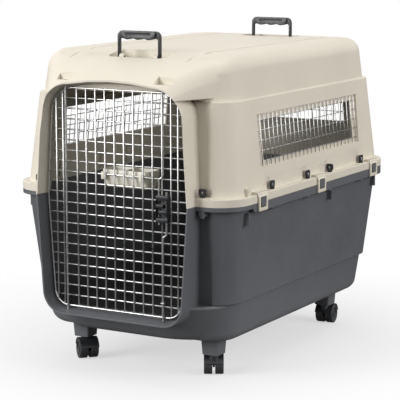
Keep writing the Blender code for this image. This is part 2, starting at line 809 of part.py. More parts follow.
WINDOWS = (("right", 0, WINDOW_Z, SIDE_OPENING, SIDE_RECESS), ("left", 180, WINDOW_Z, SIDE_OPENING, SIDE_RECESS),
           ("rear", 90, REAR_WINDOW_Z, REAR_OPENING, REAR_RECESS))


def recess_depth():
    return 2 * WINDOW_WIRE + 2 * CLEAR


def window_boxes(bm, grow, deep, size_index):
    """Boxes in the wall frames of the three windows: 0 is the opening and 1 the recess."""
    for _, facing, z, opening, outline in WINDOWS:
        half_u, half_v = (opening, outline)[size_index]
        start = len(bm.verts)
        bm.verts.ensure_lookup_table()
        add_box(bm, (-half_u - grow, -half_v - grow, -deep), (half_u + grow, half_v + grow, 0.02))
        bm.verts.ensure_lookup_table()
        bmesh.ops.transform(bm, matrix=wall_matrix(roof_half, z, facing), verts=bm.verts[start:])


def pocket_outline(grow, sign):
    low, high = sorted((sign * (HANDLE_Y + POCKET_OUT + grow), sign * (HANDLE_Y - POCKET_IN - grow)))
    half = (high - low) / 2
    outline = rounded_rectangle(POCKET_HALF + grow, half, 0.016, arc=2)
    return [(x, y + (low + high) / 2) for x, y in outline]


def roof_shell(crate):
    bm = bmesh.new()
    roof_outer(bm)
    roof = crate.solid("roof_shell", bm, crate.beige)

    cut = bmesh.new()
    recess(cut, roof_half, ROOF_FLANGE_Z, LEDGE_Z - 0.001, 0.0)
    crate.combine(roof, cut, "DIFFERENCE", "front_recess")

    add = bmesh.new()
    sections = [(FRONT + step, brow_outline(0.0, FRONT + step)) for step in BROW_STEPS]
    end = HOOD_END_Y + 0.015
    sections.append((end, brow_outline(0.002, end)))
    door_loft(add, sections)
    crate.combine(roof, add, "UNION", "brow")

    add = bmesh.new()
    for name, x, y, facing in bolt_places():
        add_flange_box(add, x, y, facing, 0.011, BOLT_IN - 0.001, BOLT_BLOCK[0] / 2,
                       ROOF_BOTTOM_Z - TRIM / 2, ROOF_FLANGE_Z - 0.002)
    for sign in (-1, 1):
        for y in CLIP_Y:
            xs = sorted((sign * (WALL_TOP_X - 0.003), sign * (FLANGE_X - 0.0025)))
            add_box(add, (xs[0], y - CLIP_HALF - 0.008, ROOF_BOTTOM_Z - TRIM / 3),
                    (xs[1], y + CLIP_HALF + 0.008, ROOF_FLANGE_Z - 0.002))
    crate.combine(roof, add, "UNION", "flange_blocks")

    add = bmesh.new()
    for name, x, y, facing in bolt_places():
        pad(add, x, y, facing)
    for sign in (-1, 1):
        x, y, half = PEG
        add_box(add, (sign * x - half, y - half, ROOF_FLANGE_Z - 0.002),
                (sign * x + half, y + half, ROOF_FLANGE_Z + PEG_RISE))
        for y in CLIP_Y:
            xs = sorted((sign * (WALL_TOP_X - 0.0045), sign * (FLANGE_X - 0.001)))
            add_box(add, (xs[0], y - CLIP_HALF - 0.003, ROOF_FLANGE_Z - 0.003),
                    (xs[1], y + CLIP_HALF + 0.003, CLIP_BLOCK_Z))
    crate.combine(roof, add, "UNION", "pads")

    trim = bmesh.new()
    add_box(trim, (-FLANGE_X - 0.01, FRONT - 0.01, SPLIT_Z - 0.05), (FLANGE_X + 0.01, FLANGE_Y + 0.01, ROOF_BOTTOM_Z))
    crate.combine(roof, trim, "DIFFERENCE", "split_plane")

    cavity_bm = bmesh.new()
    roof_cavity(cavity_bm)
    cavity = crate.cutter("roof_shell_cavity", cavity_bm)
    keep = bmesh.new()
    recess(keep, roof_half, ROOF_BOTTOM_Z - 0.05, LEDGE_Z - 0.001 + WALL, WALL)
    crate.combine(cavity, keep, "DIFFERENCE", "recess_wall")
    keep = bmesh.new()
    window_boxes(keep, WALL, recess_depth() + WALL, 1)
    for sign in (-1, 1):
        outline = pocket_outline(WALL, sign)
        add_prism(keep, outline, lambda u, v, w: (u, v, w), POCKET_Z - WALL, ROOF_Z + 0.01)
        half = GROOVE_WIDTH / 2 + WALL
        x = sign * GROOVE_X
        start = GROOVE_Y[0] + WEDGE[1] - WALL
        add_box(keep, (x - half, start, ROOF_Z - GROOVE_DEPTH - WALL),
                (x + half, GROOVE_Y[1] + WALL, ROOF_Z + 0.01))
    for name, x, y, facing in bolt_places():
        if not name.startswith("front"):
            add_flange_box(keep, x, y, facing, NUT_POCKET + WALL, 0.005, NUT_POCKET + WALL,
                           ROOF_FLANGE_Z - 0.01, ROOF_FLANGE_Z + 0.034)
    crate.combine(cavity, keep, "DIFFERENCE", "inner_walls")
    keep = bmesh.new()
    low = ROOF_Z - fall(GROOVE_Y[0]) - WEDGE[2] - WALL
    for sign in (-1, 1):
        half = WEDGE[0] / 2 + WALL
        add_box(keep, (sign * GROOVE_X - half, GROOVE_Y[0] - 0.03, low),
                (sign * GROOVE_X + half, GROOVE_Y[0] + WEDGE[1] + WALL, ROOF_Z + 0.011))
    crate.combine(cavity, keep, "DIFFERENCE", "wedge_walls")
    crate.combine(roof, cavity, "DIFFERENCE", "cavity")

    cut = bmesh.new()
    door_loft(cut, brow_hollow())
    crate.combine(roof, cut, "DIFFERENCE", "brow_hollow")

    cut = bmesh.new()
    tunnel(cut, lambda off: upper_outline(off, SPLIT_Z - 0.02))
    crate.combine(roof, cut, "DIFFERENCE", "door_tunnel")

    add = bmesh.new()
    lip_y = FRONT + TUNNEL_DEPTH
    low = DOOR_TOP - TUNNEL_IN - LIP_RISE
    add_box(add, (-LIP_HALF, lip_y, low), (LIP_HALF, lip_y + LIP - CLEAR, DOOR_TOP + ARCH))
    for sign in (-1, 1):
        handle_bosses(add, sign)
    crate.combine(roof, add, "UNION", "door_stop_and_bosses")

    cut = bmesh.new()
    window_boxes(cut, 0.0, recess_depth(), 1)
    for sign in (-1, 1):
        x = sign * GROOVE_X
        half = GROOVE_WIDTH / 2
        add_box(cut, (x - half, GROOVE_Y[0] + WEDGE[1] + 0.0005, ROOF_Z - GROOVE_DEPTH),
                (x + half, GROOVE_Y[1], ROOF_Z + 0.01))
    for name, x, y, facing in bolt_places():
        if not name.startswith("front"):
            add_rod(cut, (x, y, ROOF_FLANGE_Z + PAD[1]), (x, y, ROOF_FLANGE_Z + 0.030), NUT_POCKET, 10)
    for x in (-1, 1):
        half = 0.021
        middle = x * 0.138
        add_box(cut, (middle - half, FRONT + 0.007, DOOR_TOP + 0.008),
                (middle + half, FRONT + 0.032, DOOR_TOP + 0.06))
    crate.combine(roof, cut, "DIFFERENCE", "recesses")

    cut = bmesh.new()
    window_boxes(cut, 0.0, 0.04, 0)
    for sign in (-1, 1):
        x = sign * GROOVE_X
        front = GROOVE_Y[0] - 0.012
        profile = [(front, ROOF_Z + 0.01), (front, ROOF_Z - fall(GROOVE_Y[0]) - WEDGE[2] * 0.8),
                   (GROOVE_Y[0] + WEDGE[1], ROOF_Z - GROOVE_DEPTH * 0.3),
                   (GROOVE_Y[0] + WEDGE[1] + 0.001, ROOF_Z - GROOVE_DEPTH * 0.3),
                   (GROOVE_Y[0] + WEDGE[1] + 0.001, ROOF_Z + 0.01)]
        add_prism(cut, profile, lambda u, v, w: (w, u, v), x - WEDGE[0] / 2, x + WEDGE[0] / 2)
    for name, x, y, facing in bolt_places():
        add_rod(cut, (x, y, ROOF_BOTTOM_Z - 0.01), (x, y, ROOF_FLANGE_Z + 0.015), BOLT_HOLE / 2, 6)
    for x in (HINGE_X, LATCH_X):
        add_rod(cut, (x, ROD_Y, DOOR_TOP - 0.02), (x, ROD_Y, DOOR_TOP + 0.03), ROD_HOLE / 2, 8)
    for sign in (-1, 1):
        for y in CLIP_Y:
            x = sign * (FLANGE_X - CLIP_AXIS_IN)
            add_rod(cut, (x, y - CLIP_HALF - 0.001, CLIP_AXIS_Z), (x, y + CLIP_HALF + 0.001, CLIP_AXIS_Z),
                    CLIP_GROOVE / 2, 10)
        for side in (-1, 1):
            outer = HANDLE_HALF - LEG[0]
            xs = sorted((side * (outer + 0.001), side * (outer - BOSS_WIDTH - 0.003)))
            y = sign * HANDLE_Y
            add_rod(cut, (xs[0], y, HANDLE_PIVOT_Z), (xs[1], y, HANDLE_PIVOT_Z), HANDLE_PIN / 2 + 0.0004, 8)
    crate.combine(roof, cut, "DIFFERENCE", "holes")

    pockets = bmesh.new()
    for sign in (-1, 1):
        outline = pocket_outline(0.0, sign)
        add_prism(pockets, outline, lambda u, v, w: (u, v, w), POCKET_Z, ROOF_Z + 0.02)
    tool = crate.cutter("roof_shell_handle_pockets", pockets)
    keep = bmesh.new()
    for sign in (-1, 1):
        handle_bosses(keep, sign)
    crate.combine(tool, keep, "DIFFERENCE", "bosses")
    crate.combine(roof, tool, "DIFFERENCE", "handle_pockets")

    return roof


def brow_hollow():
    """Hollow of the hood behind the stop lip, open into the roof."""
    start = FRONT + TUNNEL_DEPTH + LIP
    places = [start] + [FRONT + step for step in BROW_STEPS if FRONT + step > start + 0.008] + [HOOD_END_Y + 0.012]
    sections = []
    for y in places:
        outline = brow_outline(WALL, y)
        wide = outline[0][0]
        outline[0] = (wide, SPLIT_Z - 0.02)
        outline[-1] = (-wide, SPLIT_Z - 0.02)
        sections.append((y, outline))
    return sections


def pad(bm, x, y, facing):
    """Raised pad under a nut with sloping ends."""
    across = Vector((math.cos(math.radians(facing)), math.sin(math.radians(facing)), 0.0))
    along = Vector((-across.y, across.x, 0.0))
    length, rise = PAD
    low = ROOF_FLANGE_Z - 0.002
    outline = [(-length / 2, low), (length / 2, low), (length / 2 - 0.007, ROOF_FLANGE_Z + rise),
               (-length / 2 + 0.007, ROOF_FLANGE_Z + rise)]
    here = Vector((x, y, 0.0))
    add_prism(bm, outline, lambda u, v, w: here + along * u + across * w + Vector((0, 0, v)),
              -0.012, BOLT_IN - 0.0016)


def handle_bosses(bm, sign):
    """Two round-topped bosses in a pocket, just inside the handle's legs."""
    radius = BOSS_RADIUS
    low = POCKET_Z - WALL / 2
    outline = [(-radius, low), (radius, low)]
    outline += [(radius * math.cos(math.pi * i / 6), HANDLE_PIVOT_Z + radius * math.sin(math.pi * i / 6))
                for i in range(7)]
    outline[2] = (radius, HANDLE_PIVOT_Z)
    for side in (-1, 1):
        outer = HANDLE_HALF - LEG[0] - CLEAR
        xs = sorted((side * outer, side * (outer - BOSS_WIDTH)))
        add_prism(bm, outline, lambda u, v, w: (w, sign * HANDLE_Y + u, v), xs[0], xs[1])


def hexagon_ring(point, side_axis, depth_axis, flat_to_flat):
    """Six points round a wire's centre with flats square to depth_axis."""
    apothem = flat_to_flat / 2
    half_flat = apothem / math.sqrt(3)
    corner = 2 * half_flat
    pattern = ((-half_flat, -apothem), (half_flat, -apothem), (corner, 0.0), (half_flat, apothem),
               (-half_flat, apothem), (-corner, 0.0))
    return [point + side_axis * u + depth_axis * v for u, v in pattern]


def straight_wire(bm, start, end, depth_axis, size):
    start = Vector(start)
    end = Vector(end)
    side = (end - start).normalized().cross(depth_axis)
    add_loft(bm, [hexagon_ring(start, side, depth_axis, size), hexagon_ring(end, side, depth_axis, size)])


def square_wire(bm, start, end, depth_axis, size):
    """Straight wire with four corners, its flats square to the depth."""
    start = Vector(start)
    end = Vector(end)
    side = (end - start).normalized().cross(depth_axis)
    half = size / 2
    pattern = ((-half, -half), (half, -half), (half, half), (-half, half))
    add_loft(bm, [[point + side * u + depth_axis * v for u, v in pattern] for point in (start, end)])


def closed_wire(bm, path, depth_axis, size):
    """Sweep a wire along a closed flat path, mitred at each point."""
    count = len(path)
    rows = []
    for i, here in enumerate(path):
        before = (here - path[i - 1]).normalized()
        after = (path[(i + 1) % count] - here).normalized()
        mean = (before + after).normalized()
        stretch = 1.0 / max(mean.dot(after), 0.5)
        side = mean.cross(depth_axis)
        rows.append([bm.verts.new(p) for p in hexagon_ring(here, side * stretch, depth_axis, size)])
    for i in range(count):
        a = rows[i]
        b = rows[(i + 1) % count]
        for k in range(6):
            j = (k + 1) % 6
            bm.faces.new((a[k], a[j], b[j], b[k]))


def door_frame_outline(arc=5):
    """Centreline of the frame wire, seen from the front."""
    off = -DOOR_INSET
    top_z = DOOR_TOP - DOOR_TOP_INSET
    _, _, bottom_x, bottom_z, wide = door_corners(off)
    top_x = wide - DOOR_TAPER * (top_z - SPLIT_Z)
    low = DOOR_BOTTOM_RADIUS + off
    high = DOOR_TOP_RADIUS + off
    return rounded_polygon([(bottom_x, bottom_z, low), (wide, SPLIT_Z, 0), (top_x, top_z, high),
                            (-top_x, top_z, high), (-wide, SPLIT_Z, 0), (-bottom_x, bottom_z, low)], arc)


def outline_reach(outline, value, axis):
    """Lowest and highest crossing of a closed outline with x = value or z = value."""
    found = []
    count = len(outline)
    other = 1 - axis
    for i in range(count):
        a = outline[i]
        b = outline[(i + 1) % count]
        if (a[axis] - value) * (b[axis] - value) <= 0 and a[axis] != b[axis]:
            t = (value - a[axis]) / (b[axis] - a[axis])
            found.append(a[other] + t * (b[other] - a[other]))
    return min(found), max(found)


def welded_grille(crate, name, frame_path, uprights, rails, tied, place, size, pivot, turn, wire):
    """Uprights in front of rails. The frame, or the two end uprights, meet every rail flat to flat;
    the uprights between them meet the tied rails and pass the others at a hair's distance."""
    depth = place(0.0, 0.0, 1.0) - place(0.0, 0.0, 0.0)
    ends = bmesh.new()
    between = bmesh.new()
    if frame_path:
        closed_wire(ends, [place(u, v, -size / 2) for u, v in frame_path], depth, size)
    for i, (u, low, high) in enumerate(uprights):
        outermost = not frame_path and i in (0, len(uprights) - 1)
        group, middle = (ends, -size / 2) if outermost else (between, -size / 2 - CLEAR)
        wire(group, place(u, low, middle), place(u, high, middle), depth, size)
    made = crate.solid(name, ends, crate.zinc, pivot, turn, smooth=False)
    loose = bmesh.new()
    welded = bmesh.new()
    for k, (v, low, high) in enumerate(rails):
        group, middle = (welded, size / 2 - CLEAR) if k in tied else (loose, size / 2)
        wire(group, place(low, v, middle), place(high, v, middle), depth, size)
    for label, group in (("free_rails", loose), ("tied_rails", welded), ("uprights", between)):
        tool = crate.combine(made, group, "UNION", label)
        tool.location = pivot
        tool.rotation_euler = turn
    return made


def door_grille(crate):
    pivot = (HINGE_X, ROD_Y, 0.0)
    frame = door_frame_outline()
    columns = [(i - (DOOR_COLUMNS - 1) / 2) * DOOR_PITCH_X + DOOR_COLUMN_SHIFT for i in range(DOOR_COLUMNS)]
    columns += [side * x for side in (-1, 1) for x in OUTER_COLUMNS]
    uprights = [(x, *outline_reach(frame, x, 0)) for x in columns]
    bottom = min(z for _, z in frame)
    top = max(z for _, z in frame)
    count = int((top - bottom) / DOOR_PITCH_Z - 0.3)
    rails = []
    for k in range(1, count + 1):
        z = bottom + k * DOOR_PITCH_Z
        rails.append((z, *outline_reach(frame, z, 1)))
    tied = (1, count // 2, count - 3)

    def place(u, v, w):
        return Vector((u - pivot[0], DOOR_SEAM + w - pivot[1], v))

    return welded_grille(crate, "door_grille", frame, uprights, rails, tied, place, DOOR_WIRE, pivot,
                         (0.0, 0.0, 0.0), straight_wire)


def window_grilles(crate):
    for name, facing, z, opening, outline in WINDOWS:
        half_u, half_v = outline
        gap = 0.002
        count_u = int((half_u - gap) / WINDOW_PITCH_X)
        count_v = int((half_v - gap) / WINDOW_PITCH_Z)
        shift_v = 0.5 if name == "rear" else 0.0
        ranks = range(-count_v, count_v + 1) if not shift_v else range(-count_v, count_v)
        uprights = [(i * WINDOW_PITCH_X, -half_v + gap, half_v - gap) for i in range(-count_u, count_u + 1)]
        rails = [((k + shift_v) * WINDOW_PITCH_Z, -half_u + gap, half_u - gap) for k in ranks]
        matrix = wall_matrix(roof_half, z, facing)
        seam = -recess_depth() + CLEAR + WINDOW_WIRE

        def place(u, v, w):
            return Vector((u, v, seam - w))

        welded_grille(crate, "window_grille_" + name, None, uprights, rails, (len(rails) // 2,), place,
                      WINDOW_WIRE, matrix.translation, matrix.to_euler(), square_wire)


def poly_tube(crate, name, points, radius, finish, pivot, resolution=2):
    """Wire along a route, its origin on the pivot, as one closed mesh."""
    curve = bpy.data.curves.new(name + "_route", "CURVE")
    curve.dimensions = "3D"
    curve.bevel_depth = radius
    curve.bevel_resolution = resolution
    curve.use_fill_caps = True
    spline = curve.splines.new("POLY")
    spline.points.add(len(points) - 1)
    for slot, point in zip(spline.points, points):
        slot.co = (*(Vector(point) - Vector(pivot)), 1.0)
    route = bpy.data.objects.new(name + "_route", curve)
    bpy.context.scene.collection.objects.link(route)
    evaluated = route.evaluated_get(bpy.context.evaluated_depsgraph_get())
    mesh = bpy.data.meshes.new_from_object(evaluated)
    bpy.data.objects.remove(route)
    bm = bmesh.new()
    bm.from_mesh(mesh)
    return crate.solid(name, bm, finish, pivot)


def smooth_bend(points, radius, steps=3):
    """Round the inner corners of a route with short arcs."""
    points = [Vector(p) for p in points]
    route = [points[0]]
    for before, here, after in zip(points, points[1:], points[2:]):
        into = (before - here).normalized()
        out = (after - here).normalized()
        start = here + into * radius
        end = here + out * radius
        for i in range(steps + 1):
            t = i / steps
            route.append(start * (1 - t) ** 2 + here * 2 * t * (1 - t) + end * t ** 2)
    route.append(points[-1])
    return route


def door_rods(crate):
    pivot = (HINGE_X, ROD_Y, 0.0)
    bm = bmesh.new()
    add_rod(bm, (0.0, 0.0, DOOR_BOTTOM - 0.003), (0.0, 0.0, DOOR_TOP + 0.010), ROD / 2, 10)
    crate.solid("hinge_rod", bm, crate.zinc, pivot)

    ceiling = DOOR_TOP - TUNNEL_IN * (ROD_Y - FRONT) / TUNNEL_DEPTH
    floor = DOOR_BOTTOM + TUNNEL_IN * (ROD_Y - FRONT) / TUNNEL_DEPTH
    middle = (CASE_Z[0] + CASE_Z[1]) / 2
    bend = 0.004
    upper = [(LATCH_X, ROD_Y, ceiling - TIP_GAP), (LATCH_X, ROD_Y, CASE_Z[1] + 0.043),
             (UPPER_ROD_X, ROD_Y, CASE_Z[1] + 0.036), (UPPER_ROD_X, ROD_Y, CASE_Z[0] - 0.006)]
    lower = [(LATCH_X, ROD_Y, floor + TIP_GAP), (LATCH_X, ROD_Y, CASE_Z[0] - 0.036),
             (LOWER_ROD_X, ROD_Y, CASE_Z[0] - 0.029), (LOWER_ROD_X, ROD_Y, CASE_Z[1] + 0.007)]
    front = ROD_Y + ROD / 2 - CASE_DEPTH - 0.002
    back = ROD_Y + ROD / 2 - CLEAR
    inner = CASE_X[0] + CASE_WALL + 0.0005
    outer = CASE_X[1] - CASE_WALL - 0.0005
    reach = ROD / 2 + 0.002
    for name, route, side, low, xs in (
            ("latch_rod_upper", upper, 1, middle + TAB_APART / 2, (inner, LOWER_ROD_X - reach)),
            ("latch_rod_lower", lower, -1, middle - TAB_APART / 2 - TAB, (UPPER_ROD_X + reach, outer))):
        pivot = (LATCH_X, ROD_Y, middle)
        rod = poly_tube(crate, name, smooth_bend(route, bend), ROD / 2, crate.zinc, pivot)
        tab = bmesh.new()
        add_box(tab, (xs[0], front, low), (xs[1], back, low + TAB))
        crate.combine(rod, tab, "UNION", "tab")


def latch_springs(crate):
    """Two compression springs, each round its rod between the case and the rod's tab."""
    middle = (CASE_Z[0] + CASE_Z[1]) / 2
    inset = CASE_WALL + CLEAR + SPRING_WIRE / 2
    seat = TAB_APART / 2 - CLEAR - SPRING_WIRE / 2
    ends = {"upper": (UPPER_ROD_X, CASE_Z[0] + inset, middle + seat),
            "lower": (LOWER_ROD_X, CASE_Z[1] - inset, middle - seat)}
    per_turn = 8
    for name, (x, fixed, moving) in ends.items():
        points = []
        for i in range(SPRING_TURNS * per_turn + 1):
            t = i / (SPRING_TURNS * per_turn)
            angle = 2 * math.pi * i / per_turn
            points.append((x + SPRING_RADIUS * math.cos(angle), ROD_Y + SPRING_RADIUS * math.sin(angle),
                           fixed + (moving - fixed) * t))
        gap = least_gap([Vector(p) for p in points], SPRING_WIRE, per_turn // 2)
        print("latch_spring_" + name, "least gap to itself, mm:", round(gap * 1000, 2))
        poly_tube(crate, "latch_spring_" + name, points, SPRING_WIRE / 2, crate.steel,
                  (x, ROD_Y, fixed), resolution=1)


def least_gap(points, diameter, skip):
    gaps = [(a - b).length - diameter for i, a in enumerate(points) for b in points[i + skip:]]
    return min(gaps)


def latch_case(crate):
    pivot = (LATCH_X, ROD_Y, (CASE_Z[0] + CASE_Z[1]) / 2)
    back = DOOR_FACE - CLEAR
    front = back - CASE_DEPTH
    bm = bmesh.new()
    add_box(bm, (CASE_X[0], front, CASE_Z[0]), (CASE_X[1], back, CASE_Z[1]))
    bmesh.ops.translate(bm, verts=bm.verts, vec=-Vector(pivot))
    bmesh.ops.bevel(bm, geom=[e for e in bm.edges if min(v.co.y for v in e.verts) < front - ROD_Y + 0.001],
                    offset=0.002, segments=2, affect="EDGES", profile=0.5)
    case = crate.solid("latch_case", bm, crate.black, pivot)
    cut = bmesh.new()
    wall = CASE_WALL
    add_box(cut, (CASE_X[0] + wall, front + wall, CASE_Z[0] + wall), (CASE_X[1] - wall, back + 0.01, CASE_Z[1] - wall))
    crate.combine(case, cut, "DIFFERENCE", "inside")
    cut = bmesh.new()
    half = ROD / 2 + 0.0005
    for x in (UPPER_ROD_X, LOWER_ROD_X):
        add_box(cut, (x - half, ROD_Y - half, CASE_Z[0] - 0.01), (x + half, back + 0.01, CASE_Z[1] + 0.01))
    crate.combine(case, cut, "DIFFERENCE", "rod_slots")
    cut = bmesh.new()
    margin = 0.005
    travel = TAB_APART / 2 + TAB + LATCH_TRAVEL + 0.001
    middle = (CASE_Z[0] + CASE_Z[1]) / 2
    add_box(cut, (CASE_X[0] + wall, front - 0.01, middle - travel), (CASE_X[1] - wall, front + margin, middle + travel))
    crate.combine(case, cut, "DIFFERENCE", "thumb_window")


def rod_guide(crate):
    """Staple on the door that keeps the lower latch rod in line."""
    face = DOOR_FACE
    z = DOOR_BOTTOM + 0.050
    wire = 0.0028
    side = ROD / 2 + wire / 2 + 0.0005
    out = ROD_Y - ROD / 2 - wire / 2 - 0.0005
    points = [(LATCH_X - side, face - CLEAR, z), (LATCH_X - side, out, z), (LATCH_X + side, out, z),
              (LATCH_X + side, face - CLEAR, z)]
    poly_tube(crate, "rod_guide", smooth_bend(points, 0.001, 2), wire / 2, crate.zinc, (LATCH_X, ROD_Y, z), 1)


def handle_mesh(name):
    """U-shaped handle about its pivot line, grip above, pins pointing inwards at the feet."""
    rise = HANDLE_TOP_Z - HANDLE_PIVOT_Z
    bm = bmesh.new()
    leg_x, leg_y = LEG
    foot = -0.0045
    inner = HANDLE_HALF - leg_x
    outer_line = rounded_polygon([(HANDLE_HALF, foot, 0), (HANDLE_HALF, rise, HANDLE_CORNER),
                                  (-HANDLE_HALF, rise, HANDLE_CORNER), (-HANDLE_HALF, foot, 0)], 4)
    under = rise - GRIP[0] + 0.004
    inner_line = [(-inner, foot)]
    inner_line += [(-inner, under - 0.004), (-inner + 0.004, under)]
    inner_line += [(inner - 0.004, under), (inner, under - 0.004), (inner, foot)]
    add_prism(bm, outer_line + inner_line, lambda u, v, w: (u, w, v), -leg_y / 2, leg_y / 2)
    return finish_mesh(bm, name)


def grip_outline():
    """Grip seen from the front, with three finger ridges below."""
    rise = HANDLE_TOP_Z - HANDLE_PIVOT_Z
    low = rise - GRIP[0]
    points = []
    steps = 12
    for i in range(steps + 1):
        x = -GRIP_HALF + 2 * GRIP_HALF * i / steps
        wave = 0.5 - 0.5 * math.cos(2 * math.pi * (x / FINGER_PITCH))
        points.append((x, low + FINGER_DEPTH * wave))
    points += [(GRIP_HALF + 0.004, rise - 0.004), (GRIP_HALF, rise - 0.0006),
               (-GRIP_HALF, rise - 0.0006), (-GRIP_HALF - 0.004, rise - 0.004)]
    return points


def handles(crate):
    for name, sign in (("front", -1), ("rear", 1)):
        pivot = (0.0, sign * HANDLE_Y, HANDLE_PIVOT_Z)
        handle = crate.solid("handle_" + name, handle_mesh("handle_" + name), crate.black, pivot)
        add = bmesh.new()
        add_prism(add, grip_outline(), lambda u, v, w: (u, pivot[1] + w, pivot[2] + v), -GRIP[1] / 2, GRIP[1] / 2)
        crate.combine(handle, add, "UNION", "grip")
        add = bmesh.new()
        inner = HANDLE_HALF - LEG[0]
        for side in (-1, 1):
            start = side * (inner + LEG[0] / 2)
            end = side * (inner - BOSS_WIDTH + 0.001)
            add_rod(add, (start, pivot[1], pivot[2]), (end, pivot[1], pivot[2]), HANDLE_PIN / 2, 8)
        crate.combine(handle, add, "UNION", "pins")
        cut = bmesh.new()
        rise = HANDLE_TOP_Z
        for side in (-1, 1):
            ys = sorted((pivot[1] + side * (GRIP[1] / 2 - 0.0012), pivot[1] + side * (GRIP[1] / 2 + 0.01)))
            add_box(cut, (-0.033, ys[0], rise - 0.0145), (0.033, ys[1], rise - 0.0045))
        crate.combine(handle, cut, "DIFFERENCE", "grip_panels")


def bolts_and_nuts(crate):
    head_z = SPLIT_Z - BOLT_BLOCK[1] - CLEAR
    nut_z = ROOF_FLANGE_Z + PAD[1] + CLEAR
    bolt = bmesh.new()
    width, thick = BOLT_HEAD
    top = nut_z + 0.014 - head_z
    outline_head = [(width / math.sqrt(3) * math.cos(math.radians(60 * i)),
                     width / math.sqrt(3) * math.sin(math.radians(60 * i))) for i in range(6)]
    add_prism(bolt, outline_head, lambda u, v, w: (u, v, w), -thick, 0.0)
    bolt_mesh = finish_mesh(bolt, "flange_bolt")
    shank = bmesh.new()
    add_rod(shank, (0.0, 0.0, -thick / 2), (0.0, 0.0, top), BOLT / 2, 6)
    shank_mesh = finish_mesh(shank, "flange_bolt_shank")
    nut_hub = bmesh.new()
    add_rod(nut_hub, (0.0, 0.0, 0.0), (0.0, 0.0, NUT_HUB[1]), NUT_HUB[0] / 2, 8)
    hub_mesh = finish_mesh(nut_hub, "wing_nut")
    wing_bm = bmesh.new()
    half = NUT_WING[0] / 2
    wing = rounded_polygon([(half * 0.62, 0.0015, 0), (half, 0.007, 0), (half, NUT_HEIGHT, 0.004),
                            (-half, NUT_HEIGHT, 0.004), (-half, 0.007, 0), (-half * 0.62, 0.0015, 0)], 2)
    add_prism(wing_bm, wing, lambda u, v, w: (u, w, v), -NUT_WING[1] / 2, NUT_WING[1] / 2)
    wing_mesh = finish_mesh(wing_bm, "wing")
    bore = bmesh.new()
    add_rod(bore, (0.0, 0.0, -0.01), (0.0, 0.0, 0.0145), BOLT_HOLE / 2, 6)
    bore_mesh = finish_mesh(bore, "bore")
    for name, x, y, facing in bolt_places():
        made = crate.solid("bolt_" + name, bolt_mesh, crate.steel, (x, y, head_z))
        join_copy(crate, made, shank_mesh, "UNION", "shank")
        across = 0.0 if name in ("right_3", "left_2") else 90.0
        turn = (0.0, 0.0, math.radians(facing + across))
        nut = crate.solid("wing_nut_" + name, hub_mesh, crate.black, (x, y, nut_z), turn)
        join_copy(crate, nut, wing_mesh, "UNION", "wings")
        join_copy(crate, nut, bore_mesh, "DIFFERENCE", "bore")


def join_copy(crate, target, mesh, operation, label):
    """Boolean with a shared cutter mesh placed where the part is."""
    tool = bpy.data.objects.new(target.name + "_" + label, mesh)
    tool.parent = crate.datum
    tool.location = target.location
    tool.rotation_euler = target.rotation_euler
    tool.hide_render = True
    tool.display_type = "WIRE"
    crate.cutters.objects.link(tool)
    step = target.modifiers.new(label, "BOOLEAN")
    step.operation = operation
    step.solver = "EXACT"
    step.object = tool


def clips(crate):
    """Frames that hang over the joint of the two shells, about their hinge barrels."""
    radius = CLIP_BARREL / 2
    inner = CLIP_AXIS_IN + CLEAR + 0.0004
    outer = inner + CLIP_THICK
    barrel = []
    for i in range(9):
        angle = math.radians(-15 + 30 * i)
        barrel.append((radius * math.cos(angle), radius * math.sin(angle)))
    profile = [(outer, -CLIP_DROP), (outer, -0.006)] + barrel
    profile += [(inner, -math.sqrt(radius ** 2 - inner ** 2)), (inner, -CLIP_DROP)]
    bm = bmesh.new()
    add_prism(bm, profile, lambda u, v, w: (u, w, v), -CLIP_HALF, CLIP_HALF)
    frame_mesh = finish_mesh(bm, "side_clip")
    bm = bmesh.new()
    half, top, bottom = CLIP_WINDOW
    add_box(bm, (inner - 0.003, -half, -bottom), (outer + 0.003, half, -top))
    window_mesh = finish_mesh(bm, "clip_window")
    for label, sign in (("right", 1), ("left", -1)):
        for place, y in zip(("front", "middle", "rear"), CLIP_Y):
            pivot = (sign * (FLANGE_X - CLIP_AXIS_IN), y, CLIP_AXIS_Z)
            turn = (0.0, 0.0, 0.0 if sign > 0 else math.pi)
            made = crate.solid(f"clip_{label}_{place}", frame_mesh, crate.beige, pivot, turn)
            join_copy(crate, made, window_mesh, "DIFFERENCE", "window")


